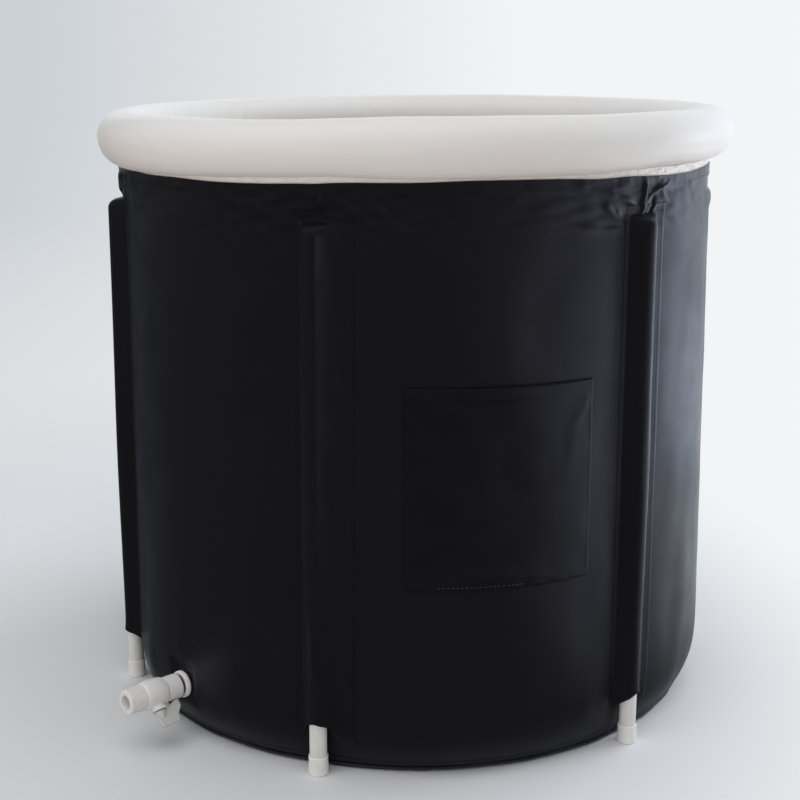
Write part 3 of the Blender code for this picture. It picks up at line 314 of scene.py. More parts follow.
class Skin:
    """Collects grids of points into one mesh, with texture coordinates in metres and material numbers."""

    def __init__(self):
        self.points, self.faces, self.uvs, self.slots, self.seams, self.count = [], [], [], [], [], 0

    def grid(self, points, uv, closed=False, turn=False):
        r, c = points.shape[:2]
        index = np.arange(r * c).reshape(r, c) + self.count
        u, v = (np.broadcast_to(part, (r, c)) for part in uv)
        around = index
        if closed:
            around = np.append(index, index[:, :1], 1)
            u = np.append(u, 2 * u[:, -1:] - u[:, -2:-1], 1)
            v = np.append(v, v[:, -1:], 1)
        quads, *coords = (
            np.stack([m[:-1, :-1], m[:-1, 1:], m[1:, 1:], m[1:, :-1]], -1).reshape(-1, 4)
            for m in (around, u, v)
        )
        coords = np.stack(coords, -1)
        if turn:
            quads, coords = quads[:, ::-1], coords[:, ::-1]
        self.points.append(points.reshape(-1, 3))
        self.faces.append(quads)
        self.uvs.append(coords)
        self.slots.append(np.zeros(len(quads), int))
        self.count += r * c
        return index

    def ring(self, radius, phi, z, uv, turn=False):
        """A grid that closes round the tub."""
        return self.grid(polar(radius, phi, z), uv, closed=True, turn=turn)

    def quads(self, quads, slot=0):
        quads = np.asarray(quads).reshape(-1, 4)
        self.faces.append(quads)
        self.uvs.append(np.zeros((len(quads), 4, 2)))
        self.slots.append(np.full(len(quads), slot))
        return len(self.faces) - 1

    def join_rows(self, low, high, closed=True, slot=0):
        a, d = low, high
        b, e = np.roll(low, -1), np.roll(high, -1)
        if not closed:
            a, b, d, e = a[:-1], b[:-1], d[:-1], e[:-1]
        return self.quads(np.stack([a, b, e, d], -1), slot)

    def close(self, inner, outer, slot=0):
        """Joins two layers along all four edges. The last side's edge can have its own material."""
        self.join_rows(inner[0], outer[0], False)
        self.join_rows(outer[-1], inner[-1], False)
        self.join_rows(outer[:, 0], inner[:, 0], False)
        self.join_rows(inner[:, -1], outer[:, -1], False, slot)

    def seam(self, outer, inner, closed=True, level=FOLD_Z):
        """Closes a layer of cloth along a row where it is parted in two."""
        self.seams.append((self.join_rows(outer, inner, closed), self.join_rows(inner, outer, closed), level))

    def arrays(self):
        return [np.concatenate(part) for part in (self.points, self.faces, self.uvs, self.slots)]


def add_object(name, data):
    obj = bpy.data.objects.new(name, data)
    bpy.context.scene.collection.objects.link(obj)
    return obj


def finish_piece(obj, body, node):
    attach(obj, body)
    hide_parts(node)
    return obj


def whole_piece(name, skin, materials, body, node):
    return finish_piece(make_mesh(name, *skin.arrays(), materials), body, node)


def make_mesh(name, points, faces, uvs, slots, materials, normals=None):
    mesh = bpy.data.meshes.new(name)
    mesh.from_pydata(points.tolist(), [], faces.tolist())
    layer = mesh.uv_layers.new(name="UVMap")
    layer.data.foreach_set("uv", uvs.reshape(-1, 2).ravel())
    mesh.polygons.foreach_set("material_index", slots.astype(np.int32))
    mesh.polygons.foreach_set("use_smooth", np.ones(len(faces), bool))
    for material in materials:
        mesh.materials.append(material)
    mesh.validate()
    mesh.update()
    if normals is not None:
        mesh.normals_split_custom_set_from_vertices(normals.tolist())
    return add_object(name, mesh)


def corner_normals(points, faces):
    """Smooth normals of the whole sheet, weighted by area."""
    p = points[faces]
    n = np.cross(p[:, 2] - p[:, 0], p[:, 3] - p[:, 1])
    total = np.zeros_like(points)
    for k in range(4):
        np.add.at(total, faces[:, k], n)
    length = np.linalg.norm(total, axis=1, keepdims=True)
    return total / np.maximum(length, 1e-12)


def cloth_pieces(name, skin, materials, node):
    """Parts a skin into a foot and a wall that go with the tub, the wall with a mesh of its own, and a cuff
    that follows the rim.
    """
    points, faces, uvs, slots = skin.arrays()
    middle = points[faces][..., 2].mean(1)
    starts = np.cumsum([0] + [len(f) for f in skin.faces])
    whole = np.ones(len(faces), bool)
    for upper, lower, level in skin.seams:
        whole[starts[upper]:starts[upper + 1]] = whole[starts[lower]:starts[lower + 1]] = False
        middle[starts[upper]:starts[upper + 1]] = level + 0.0001
        middle[starts[lower]:starts[lower + 1]] = level - 0.0001
    normals = corner_normals(points, faces[whole])
    made = []
    parts = {
        "foot": middle < FOLD_Z,
        "wall": (middle >= FOLD_Z) & (middle < CUFF_Z),
        "cuff": middle >= CUFF_Z,
    }
    for suffix, chosen in parts.items():
        if not chosen.any():
            continue
        used, inverse = np.unique(faces[chosen], return_inverse=True)
        corners = inverse.reshape(-1, 4)
        obj = make_mesh(
            f"{name}_{suffix}", points[used], corners, uvs[chosen], slots[chosen], materials, normals[used],
        )
        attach(obj, "rim" if suffix == "cuff" else "tub")
        if suffix == "wall":
            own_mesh(obj)
            if node:
                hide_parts(node)
        made.append(obj)
    return made


def stitches(skin, path, normals, pitch, length, radius, slot):
    """A row of sewn stitches along a path that lies on the cloth."""
    path, normals = np.asarray(path), np.asarray(normals)
    seg = np.linalg.norm(np.diff(path, axis=0), axis=1)
    run = np.concatenate([[0], np.cumsum(seg)])
    count = int(run[-1] / pitch)
    for i in range(count):
        s = (i + 0.5) * run[-1] / count
        places = (s - length / 2, s - length / 4, s + length / 4, s + length / 2)
        ends = np.array([[np.interp(t, run, path[:, k]) for k in range(3)] for t in places])
        n = np.array([np.interp(s, run, normals[:, k]) for k in range(3)])
        d = ends[3] - ends[0]
        d /= max(np.linalg.norm(d), 1e-9)
        side = np.cross(n, d)
        rings = []
        for k, (size, lift) in enumerate(((0.35, -0.4), (1.0, 0.25), (1.0, 0.25), (0.35, -0.4))):
            for a in (0, 1, 2, 3):
                angle = PI / 4 + a * PI / 2
                rings.append(ends[k] + radius * (
                    side * math.cos(angle) * size + n * (math.sin(angle) * size * 0.8 + lift)
                ))
        base = skin.count
        skin.points.append(np.array(rings))
        skin.count += 16
        quads = [(base + 3, base + 2, base + 1, base), (base + 12, base + 13, base + 14, base + 15)]
        for k in range(3):
            for a in range(4):
                b = (a + 1) % 4
                quads.append((base + 4 * k + a, base + 4 * k + b, base + 4 * k + 4 + b, base + 4 * k + 4 + a))
        skin.quads(quads, slot)


# Materials


def add_node(tree, kind, result, inputs, **settings):
    """Adds a node whose inputs are plain values or other nodes' outputs, and gives its result."""
    node = tree.nodes.new("ShaderNode" + kind)
    for name, value in settings.items():
        setattr(node, name, value)
    for key, value in inputs.items():
        if isinstance(value, bpy.types.NodeSocket):
            tree.links.new(value, node.inputs[key])
        else:
            node.inputs[key].default_value = value
    return node.outputs[result]


class Nodes:
    """Short calls for building one material's nodes."""

    def __init__(self, name, colour, rough):
        self.material = bpy.data.materials.new(name)
        self.material.use_nodes = True
        self.material.diffuse_color = (*colour, 1)
        self.tree = self.material.node_tree
        self.shader = self.tree.nodes["Principled BSDF"]
        self.set(Base_Color=(*colour, 1), Roughness=rough)
        coordinates = self.tree.nodes.new("ShaderNodeTexCoord")
        self.object, self.uv = coordinates.outputs["Object"], coordinates.outputs["UV"]
        self.height = None

    def set(self, **values):
        for name, value in values.items():
            self.shader.inputs[name.replace("_", " ")].default_value = value

    def add(self, kind, result, inputs, **settings):
        return add_node(self.tree, kind, result, inputs, **settings)

    def noise(self, scale, detail=3.0, distort=0.0):
        return self.add("TexNoise", "Fac", {
            "Scale": scale, "Detail": detail, "Roughness": 0.55, "Distortion": distort, "Vector": self.object,
        })

    def wave(self, space, scale, direction):
        return self.add("TexWave", "Fac", {"Scale": scale, "Vector": space}, bands_direction=direction)

    def maths(self, kind, a, b):
        return self.add("Math", "Value", {0: a, 1: b}, operation=kind)

    def range(self, factor, low, high, start=0.3, end=0.7, **settings):
        return self.add("MapRange", "Result", {
            "From Min": start, "From Max": end, "To Min": low, "To Max": high, "Value": factor,
        }, **settings)

    def mix(self, factor, a, b):
        a, b = ((*c, 1) if isinstance(c, tuple) else c for c in (a, b))
        return self.add("Mix", 2, {0: factor, 6: a, 7: b}, data_type="RGBA")

    def colour(self, value):
        self.tree.links.new(value, self.shader.inputs["Base Color"])

    def roughness(self, value):
        self.tree.links.new(value, self.shader.inputs["Roughness"])

    def bump(self, height, distance, strength=1.0):
        inputs = {"Strength": strength, "Distance": distance, "Height": height}
        if self.height:
            inputs["Normal"] = self.height
        self.height = self.add("Bump", "Normal", inputs)
        self.tree.links.new(self.height, self.shader.inputs["Normal"])

    def edge_wear(self, base, worn, amount=0.5):
        """Paler worn edges, where the surface is most convex."""
        edge = self.range(self.add("NewGeometry", "Pointiness", {}), 0.0, amount, 0.52, 0.60)
        return self.mix(edge, base, worn)


def coated_cloth(name, tint=(0.0066, 0.0061, 0.0080), rough=0.33):
    """Black polyester with a thin satin coating: fine plain weave, broad sheen changes, light dust."""
    n = Nodes(name, tint, rough)
    broad = n.noise(3.0, 4.0)
    blotch = n.noise(22.0, 4.0)
    pale = tuple(min(1, c * 1.45 + 0.0003) for c in tint)
    base = n.mix(n.range(broad, 0.0, 0.6), tint, pale)
    dust = n.range(n.noise(240.0, 2.0), 0.0, 0.14, 0.64, 0.80)
    n.colour(n.mix(n.maths("MULTIPLY", dust, blotch), base, (0.035, 0.035, 0.040)))
    n.roughness(n.range(blotch, rough - 0.05, rough + 0.07))
    warp = n.wave(n.uv, 780.0, "X")
    weft = n.wave(n.uv, 780.0, "Y")
    n.bump(n.maths("MULTIPLY", warp, weft), 0.00006, 0.5)
    n.bump(n.noise(900.0, 2.0), 0.00008, 0.35)
    n.bump(n.noise(60.0, 4.0, distort=0.6), 0.0006, 0.18)
    n.set(Specular_IOR_Level=0.34, Specular_Tint=(0.87, 0.84, 1.0, 1.0))
    n.set(Sheen_Weight=0.05, Sheen_Roughness=0.35, Sheen_Tint=(0.62, 0.76, 1.0, 1.0))
    return n.material


def thread(name, colour):
    n = Nodes(name, colour, 0.6)
    n.colour(n.mix(n.noise(400.0), colour, tuple(c * 0.6 for c in colour)))
    n.bump(n.wave(n.object, 1500.0, "DIAGONAL"), 0.0001, 0.5)
    return n.material


def vinyl(name, colour, rough=0.30, crinkle=0.0, warm=(0.80, 0.765, 0.745), under=None):
    """Soft white vinyl: faint warm patches, satin gloss, a fine grain and slack ripples."""
    n = Nodes(name, colour, rough)
    patch = n.noise(6.0, 4.0)
    base = n.mix(n.range(patch, 0.0, 0.55), colour, warm)
    faint = n.range(n.noise(90.0, 3.0), 0.0, 0.05, 0.45, 0.80)
    toned = n.mix(faint, base, (0.55, 0.53, 0.50))
    if under:
        # Warmer underneath, where light comes up from the floor
        facing = n.add("SeparateXYZ", "Z", {0: n.add("NewGeometry", "Normal", {})})
        toned = n.mix(n.range(facing, 1.0, 0.0, -0.9, 0.5), toned, under)
    n.colour(toned)
    n.roughness(n.range(n.noise(35.0, 4.0), rough - 0.04, rough + 0.06))
    n.bump(n.noise(1100.0, 2.0), 0.00003, 0.15)
    n.bump(n.noise(26.0, 2.0), 0.0008, 0.08)
    if crinkle:
        n.bump(n.noise(110.0, 5.0, distort=1.4), 0.0012, crinkle)
    n.set(Specular_IOR_Level=0.45, Subsurface_Weight=0.06, Subsurface_Scale=0.004)
    n.shader.inputs["Subsurface Radius"].default_value = (1.0, 0.75, 0.6)
    return n.material


def moulded(name, colour, rough=0.34, shade=0.82, grain=0.25, spec=0.5):
    """Moulded plastic: slight mottling, scuffed edges and a fine moulded grain."""
    n = Nodes(name, colour, rough)
    darker = tuple(c * shade for c in colour)
    base = n.mix(n.range(n.noise(70.0, 4.0), 0.0, 0.5), colour, darker)
    worn = n.edge_wear(base, tuple(min(1, c * 1.12 + 0.02) for c in colour), 0.6)
    grime = n.range(n.noise(180.0, 5.0, distort=0.8), 0.0, 0.30, 0.56, 0.76)
    n.colour(n.mix(grime, worn, tuple(c * 0.62 for c in colour)))
    n.roughness(n.range(n.noise(120.0, 4.0), rough - 0.06, rough + 0.12))
    n.bump(n.noise(1500.0, 2.0), 0.00006, grain)
    n.bump(n.noise(160.0, 3.0), 0.0002, 0.15)
    n.set(Specular_IOR_Level=spec)
    return n.material


def plain(name, tone, rough, patches, pale, dark, grain, grain_depth, grain_strength, uneven=None):
    """Two tones mixed in patches, with a grain. A noise is given by its scale and detail."""
    n = Nodes(name, tone, rough)
    n.colour(n.mix(patches(n), pale, dark))
    if uneven:
        n.roughness(n.range(n.noise(uneven[0]), *uneven[1:]))
    n.bump(n.noise(*grain), grain_depth, grain_strength)
    return n


CLOTH = coated_cloth("coated_cloth")
SLEEVE_CLOTH = coated_cloth("sleeve_cloth", (0.0064, 0.0059, 0.0078), 0.33)
POCKET_CLOTH = coated_cloth("pocket_cloth", (0.0052, 0.0048, 0.0062), 0.34)
BINDING = coated_cloth("binding_cloth", (0.020, 0.020, 0.026), 0.45)
BLACK_THREAD = thread("black_thread", (0.007, 0.007, 0.009))
PALE_THREAD = thread("pale_thread", (0.085, 0.085, 0.095))
RIM_VINYL = vinyl("rim_vinyl", (0.81, 0.785, 0.765), 0.34, 0.0, (0.78, 0.75, 0.73), (0.86, 0.77, 0.70))
# The band is white vinyl; its paler, warmer colour than the rim's is painted warm bounce light in the shade
# under the rim.
BAND_VINYL = vinyl("band_vinyl", (0.92, 0.85, 0.79), 0.36, 0.35, (0.84, 0.76, 0.70))
LINER_VINYL = vinyl("liner_vinyl", (0.82, 0.825, 0.82), 0.33, 0.10, (0.78, 0.775, 0.76))
PIPE = moulded("pole_plastic", (0.80, 0.775, 0.74), 0.36)
CAP = moulded("cap_plastic", (0.90, 0.875, 0.84), 0.40)
VALVE = moulded("valve_plastic", (0.86, 0.825, 0.805), 0.36, 0.90, 0.2)
LEVER = moulded("lever_plastic", (0.64, 0.64, 0.62), 0.36, 0.88, 0.2)
BALL = moulded("ball_plastic", (0.66, 0.66, 0.67), 0.36)
SEAT = moulded("seat_plastic", (0.86, 0.86, 0.85), 0.38)
RUBBER = plain(
    "gasket_rubber", (0.016, 0.016, 0.017), 0.5, lambda n: n.range(n.noise(90.0, 4.0), 0.0, 0.7),
    (0.014, 0.014, 0.015), (0.032, 0.032, 0.033), (900.0, 3.0), 0.0001, 0.35, (160.0, 0.40, 0.62),
).material
FOAM = plain(
    "foam", (0.78, 0.80, 0.80), 0.8, lambda n: n.noise(500.0, 2.0),
    (0.80, 0.82, 0.82), (0.66, 0.68, 0.69), (700.0, 4.0), 0.0005, 0.6,
).material
clear = plain(
    "clear_vinyl", (0.70, 0.74, 0.78), 0.14, lambda n: n.noise(120.0),
    (0.74, 0.77, 0.80), (0.62, 0.66, 0.72), (300.0,), 0.0002, 0.2, (200.0, 0.10, 0.22),
)
clear.set(Transmission_Weight=0.35, IOR=1.45)
CLEAR = clear.material


# The bag


def outward(phi):
    return np.stack([np.sin(phi), -np.cos(phi), 0 * phi], -1)


def build_cover():
    skin = Skin()
    phi = columns()[None, :]
    heights = rows(
        (0.0, 0.004), (0.096, 0.0075), (FOLD_Z, 0.0095), (0.585, 0.0028), (0.612, 0.0019),
        (CUFF_Z, 0.0019), (HEM_Z, 0.002),
    )
    z = heights[:, None]
    dip = hem_lift(phi)
    raised = z + dip * step(CUFF_Z, HEM_Z, z)
    radius = cover_radius(phi, z)
    outer = polar(radius, phi, raised)
    wall = skin.grid(outer, (phi * GIRTH_R, z), closed=True)
    # The hem's rolled edge, then the inner face
    steps = [(0.0000, 0.0004), (-0.0005, 0.00075), (-0.0010, 0.0004)]
    top = outer[-1]
    roll = np.stack([top + outward(phi[0]) * dr + np.array([0, 0, dz]) for dr, dz in steps])
    edge = skin.grid(roll, (phi * GIRTH_R, np.array([[0.671], [0.672], [0.673]])), closed=True)
    skin.join_rows(wall[-1], edge[0])
    inner_z = rows(
        (0.010, 0.02), (0.05, 0.035), (FOLD_Z, 0.05), (0.60, 0.012), (CUFF_Z, 0.01), (HEM_Z, 0.01),
    )[::-1][:, None]
    lowered = inner_z + dip * step(CUFF_Z, HEM_Z, inner_z)
    lining = cover_radius(phi, inner_z) - COVER_T
    inner = skin.ring(lining, phi, lowered, (phi * GIRTH_R, inner_z))
    skin.join_rows(edge[-1], inner[0])
    # The cut edges where the foot, the wall and the cuff part
    for level in (FOLD_Z, CUFF_Z):
        low, high = np.argmin(np.abs(heights - level)), np.argmin(np.abs(inner_z[:, 0] - level))
        skin.seam(wall[low], inner[high], level=level)
    # The base, seen from below
    rings = np.array([0.0005, 0.06, 0.12, 0.18, 0.24, 0.29, 0.33, 0.348])[:, None]
    place = (rings * np.sin(phi), rings * np.cos(phi))
    swell = 0.0004 * (1 + waves(*place, 9, 0.12)) * step(0.352, 0.30, rings)
    floor = skin.ring(rings, phi, swell, place)
    skin.join_rows(floor[-1], wall[0])
    above = skin.ring(np.minimum(rings, 0.345), phi, swell + COVER_T, place, turn=True)
    skin.join_rows(inner[-1], above[-1])
    skin.join_rows(above[0], floor[0])
    # Stitching along the hem
    turn = np.linspace(0, 2 * PI, 1200)
    level = 0.6600
    height = level + hem_lift(turn) * step(CUFF_Z, HEM_Z, level)
    line = polar(cover_radius(turn, level + 0 * turn), turn, height)
    stitches(skin, line, outward(turn), 0.0042, 0.0030, 0.00028, 1)
    pieces = cloth_pieces("cover", skin, [CLOTH, BLACK_THREAD], "cover")


def build_piping():
    """Bound seam round the foot, a flat doubled strip folded over a cord."""
    skin = Skin()
    phi = np.linspace(0, 2 * PI, 720, endpoint=False)[None, :]
    turn = np.linspace(0, 2 * PI, 14)[:, None]
    z0 = 0.0052
    touch = plain_radius(phi, np.full_like(phi, z0))
    size = 0.0013 + 0.00025 * waves(phi * INNER_R, 0 * phi, 11, 0.02)
    radius = touch + 0.0008 + size * np.cos(turn)
    lift = z0 - 0.0010 + size * 1.3 * np.sin(turn)
    z = np.maximum(lift + 0.0008 * waves(phi * INNER_R, 0 * phi, 12, 0.09), 0.0004)
    skin.ring(radius, phi, z, (phi * INNER_R, turn * 0.002), turn=True)
    run = np.linspace(0, 2 * PI, 900)
    level = np.full_like(run, 0.0145)
    line = polar(plain_radius(run, level) + 0.0004, run, level)
    stitches(skin, line, outward(run), 0.0045, 0.0031, 0.00036, 1)
    whole_piece("foot_binding", skin, [BINDING, BLACK_THREAD], "tub", "base_piping")


def tunnel(across, reach, seam, base, hollow=1.0):
    """Radius of cloth drawn over the pole and down to the seams, with a soft foot."""
    low = base - POLE_CIRCLE
    distance = np.hypot(seam, low)
    touch = np.arctan2(low, seam) + np.arccos(np.clip(reach / distance, -1, 1))
    tx, ty = reach * np.cos(touch), reach * np.sin(touch)
    side = np.abs(across)
    round_part = POLE_CIRCLE + np.sqrt(np.maximum(reach**2 - np.minimum(side, tx) ** 2, 0))
    fall = np.clip((side - tx) / (seam - tx), 0, 1)
    # The free cloth hangs straight, or hollow where it is slack
    straight = POLE_CIRCLE + low + (ty - low) * (1 - fall) ** np.where(across > 0, hollow, 1.0)
    radius = np.where(side <= tx, round_part, straight)
    return np.where(side >= seam, base, np.maximum(radius, base))


def build_sleeves():
    left, right, left_seam, fine_to = 0.0262, 0.0437, 0.0195, 0.0290
    # The mouth's height, and where a sleeve shuts over the pole's head
    mouth_z, shut_z, shut_over = 0.066, 0.6155, 0.0135
    low_edge, peak, power = 0.038, 0.065, 1.6
    for pole in range(POLES):
        centre = FIRST + pole * PANEL
        skin = Skin()
        x = np.concatenate([
            np.linspace(-left, -left_seam, 6)[:-1],
            np.linspace(-left_seam, fine_to, 49)[:-1],
            np.linspace(fine_to, right, 11),
        ])[None, :]
        half = np.where(x < 0, left, right)
        # How far to the right the tunnel reaches differs from pole to pole
        reach_right = (0.0200, 0.0390, 0.0290, 0.0270, 0.0310, 0.0240)[pole]
        seam = np.where(x < 0, left_seam, reach_right)
        # The mouth is cut in an arch, which hangs a little lower on one side
        slant = (0.10, -0.16, 0.13, 0.0, -0.08, 0.05)[pole]
        hang = slant * x * step(seam * 1.2, seam * 0.6, np.abs(x))
        mouth = peak - (peak - low_edge) * (np.abs(x) / half) ** power + hang
        level = rows(
            (0.0, 0.009), (0.054, 0.012), (0.51, 0.0035), (0.546, 0.0022), (CUFF_Z - 0.0664, 0.0022),
        )[:, None]
        # Heights run from the arched mouth to straight rows at the fold line and above
        at = level + mouth_z
        z = np.where(at < FOLD_Z, mouth + (FOLD_Z - mouth) * (at - mouth_z) / (FOLD_Z - mouth_z), at)
        snap = np.argmin(np.abs(at[:, 0] - FOLD_Z))
        z[snap] = FOLD_Z
        phi = centre + x / POLE_CIRCLE
        wall = cover_radius(phi, z) + GAP
        # Near the pole the wall is stretched flat beneath the cloth, with slack ripples along it
        swell = np.sqrt(1 - np.clip((z - shut_z) / shut_over, 0, 1) ** 2)
        bow = 0.0019 * bell((z - 0.30) / 0.15) * step(seam, seam * 0.5, np.abs(x))
        slack = 0.0004 * waves(x * 2.5, z, 30 + pole, 0.06) + 0.0006 * waves(x, z, 50 + pole, 0.16)
        slack *= step(seam, seam * 0.55, np.abs(x)) * step(0.002, 0.010, np.abs(x))
        lip = 0.0012 * step(0.014, 0.0, z - mouth) * step(seam * 1.1, seam * 0.4, np.abs(x))
        surfaces = []
        edge = np.minimum(step(-left, -left + 0.0060, x), step(right, right - 0.0016, x))
        for thick in (0.0, 0.001):
            reach = POLE_R + 0.0007 + thick
            base = wall + thick * (0.10 + 0.40 * edge)
            full = tunnel(x, reach, seam + thick, base, 1.7 if pole == 1 else 1.0) + slack + lip + bow
            radius = base + (full - base) * swell
            # Small tucks where the tunnel shuts over the pole's head
            tuck = 0.0007 * np.cos(x / 0.0052 + pole) * bell((z - 0.627) / 0.007)
            tuck *= bell(x / 0.020)
            surfaces.append(polar(radius + tuck, phi, z))
        inner = skin.grid(surfaces[0], (x, z), turn=True)
        outer = skin.grid(surfaces[1], (x, z))
        skin.seam(outer[snap], inner[snap], closed=False)
        skin.close(inner, outer)
        # The left side is sewn from inside, the right one shows two rows
        for offset in (reach_right + 0.0010, min(reach_right + 0.0095, right - 0.0018)):
            start = peak - (peak - low_edge) * (offset / right) ** power
            h = np.linspace(start + 0.003, CUFF_Z - 0.003, 250)
            ang = np.full_like(h, centre + offset / POLE_CIRCLE)
            line = polar(cover_radius(ang, h) + GAP + 0.0005, ang, h)
            stitches(skin, line, outward(ang), 0.0040, 0.0029, 0.00032, 1)
        materials, node = [SLEEVE_CLOTH, BLACK_THREAD], f"pole_sleeve_{pole + 1}"
        parts = cloth_pieces(f"sleeve_{pole + 1}", skin, materials, node)


def build_pocket():
    skin = Skin()
    start, width, foot, height = math.radians(45.0), 0.221, 0.226, 0.228
    gape_depth, margin, hem_low, hem_high = 0.0026, 0.0045, height - 0.0150, height - 0.0135
    a = np.linspace(0, 1, 90)[None, :] * width
    b = rows((0, 0.0025), (0.006, 0.004), (0.21, 0.0018), (height, 0.0018))[:, None]
    z = foot + b
    phi = start + a / POLE_CIRCLE
    across = a / width
    share = b / height
    wall = cover_radius(phi, z) + GAP
    gape = gape_depth * np.sin(PI * across) * share**2
    # Drag lines from the corners, in mm, with half width and depth
    drag = sum(
        ridge(a * 1000, b * 1000, points, half_width, depth)
        for points, half_width, depth in (
            (((219, 227), (196, 176), (186, 120)), 9, 0.7),
            (((219, 214), (204, 190), (186, 176)), 4, 0.45),
            (((2, 226), (30, 205), (70, 196)), 9, 0.9),
            (((20, 6), (110, 14), (200, 7)), 7, 0.6),
        )
    )
    puff = 0.0008 * np.abs(waves(a, b, 71, 0.10)) + drag / 1000
    edge = step(0, 0.012, a) * step(width, width - 0.012, a) * step(0, 0.010, b)
    pucker = 0.00045 * bell(a / 0.006) + 0.00015 * bell((width - a) / 0.006)
    pucker = pucker * (1 + np.sin(b / 0.0042))
    pucker += 0.00035 * (1 + np.sin(a / 0.0046)) * bell(b / 0.006)
    thick = 0.0009 + 0.0008 * step(hem_low, hem_high, b) + pucker
    lift = gape + puff * edge
    back = wall + lift * step(0, 0.02, a) * step(width, width - 0.02, a)
    inner = skin.grid(polar(back, phi, z), (a, z), turn=True)
    outer = skin.grid(polar(wall + lift + thick, phi, z), (a, z))
    # The pocket's right side edge takes the dark, rough black thread: painted shade for the dark line at the
    # pocket's gap.
    skin.close(inner, outer, 1)

    def line(points, slot, pitch=0.0036):
        pts = np.array(points)
        seg = np.concatenate([np.linspace(p, q, 60) for p, q in zip(pts, pts[1:])])
        ang = start + seg[:, 0] / POLE_CIRCLE
        h = foot + seg[:, 1]
        top = 0.0008 * step(hem_low, hem_high, seg[:, 1])
        gap = gape_depth * np.sin(PI * seg[:, 0] / width) * (seg[:, 1] / height) ** 2
        proud = 0.0005 if slot == 2 else 0
        path = polar(cover_radius(ang, h) + GAP + 0.0010 + top + gap + proud, ang, h)
        stitches(skin, path, outward(ang), pitch, 0.0028, 0.00045, slot)

    line([(margin, height - 0.002), (margin, margin)], 1)
    line([(margin, margin), (0.036, margin)], 1)
    line([(0.036, margin), (0.134, margin)], 2, 0.0052)
    line([(0.134, margin), (width - margin, margin), (width - margin, height - 0.002)], 1)
    line([(0.004, height - 0.0120), (width - 0.004, height - 0.0120)], 1)
    materials = [POCKET_CLOTH, BLACK_THREAD, PALE_THREAD]
    pieces = cloth_pieces("side_pocket", skin, materials, "side_pocket")


def build_foam():
    skin = Skin()
    phi = columns(0.006, 0.010)[None, :]
    z = rows((0.040, 0.02), (FOLD_Z, 0.05), (0.611, 0.05))[:, None]
    face = clamped(plain_radius(phi, z) - COVER_T - 0.0012, phi, z, COVER_T + 0.0006)
    back = clamped(plain_radius(phi, z) - COVER_T - 0.0040, phi, z, COVER_T + 0.0036)
    outer = skin.ring(face, phi, z, (phi * GIRTH_R, z))
    inner = skin.ring(back, phi, z, (phi * INNER_R, z), turn=True)
    skin.join_rows(inner[-1], outer[-1])
    skin.join_rows(outer[0], inner[0])
    level = np.argmin(np.abs(z[:, 0] - FOLD_Z))
    skin.seam(outer[level], inner[level])
    pieces = cloth_pieces("foam_wall", skin, [FOAM], "foam_wall")
    retint("foam_base", FOAM)


def build_liner():
    """White inner bag: slack creases up the wall, a welded ring where wall meets base."""
    skin = Skin()
    layers = COVER_T + FOAM_T + 2 * GAP + LINER_T
    top_z, base_r = 0.672, 0.3442
    phi = columns(0.0045, 0.0055)[None, :]
    z = rows(
        (0.0073, 0.0018), (0.022, 0.006), (FOLD_Z, 0.012), (0.60, 0.006), (CUFF_Z, 0.006), (top_z, 0.006),
    )[:, None]
    arc = phi * GIRTH_R
    plain = plain_radius(phi, z) - COVER_T - FOAM_T - 2 * GAP - LINER_T
    waist = 0.3650 - (0.3650 - 0.3582) * bell((z - CUFF_Z) / 0.014)
    top = step(0.612, CUFF_Z, z)
    radius = np.where(z > 0.612, plain * (1 - top) + waist * top, plain)
    radius = np.where(z > 0.652, np.minimum(radius, 0.3648), radius)
    foot = base_r + (radius - base_r) * step(0.0073, 0.026, z) ** 0.8
    radius = np.where(z < 0.026, np.minimum(radius, foot), radius)
    crease = 0.0010 * np.abs(waves(arc * 1.5, z * 0.25, 81, 0.05)) + 0.0006 * np.abs(waves(arc, z, 82, 0.09))
    crease *= step(0.012, 0.05, z) * step(top_z, CUFF_Z, z)
    pleat = 0.0016 * (0.5 + 0.5 * waves(arc, z * 0.1, 83, 0.022)) * bell((z - 0.636) / 0.016)
    sunk = z - band_drop(phi) * step(CUFF_Z, top_z, z)
    face = clamped(radius - crease - pleat, phi, z, layers)
    wall = skin.ring(face, phi, sunk, (arc, z), turn=True)
    rings = np.array([0.344, 0.339, 0.333, 0.32, 0.29, 0.25, 0.20, 0.15, 0.10, 0.05, 0.002])[:, None]
    place = (rings * np.sin(phi), rings * np.cos(phi))
    lift = 0.0068 + 0.0012 * np.abs(waves(*place, 84, 0.10)) * step(0.345, 0.31, rings)
    lift = lift + 0.0012 * bell((rings - 0.336) / 0.0035)
    floor = skin.ring(rings, phi, lift, place)
    skin.join_rows(wall[0], floor[0])
    pieces = cloth_pieces("liner", skin, [LINER_VINYL], "liner")


# The rim


def apply_modifiers(obj):
    bpy.context.view_layer.update()
    graph = bpy.context.evaluated_depsgraph_get()
    mesh = bpy.data.meshes.new_from_object(obj.evaluated_get(graph), depsgraph=graph)
    old = obj.data
    obj.modifiers.clear()
    obj.data = mesh
    if not old.users:
        bpy.data.meshes.remove(old)
    return obj


def boolean(obj, other, operation="DIFFERENCE"):
    modifier = obj.modifiers.new("cut", "BOOLEAN")
    modifier.operation, modifier.solver, modifier.object = operation, "EXACT", other
    apply_modifiers(obj)
    bpy.data.objects.remove(other, do_unlink=True)


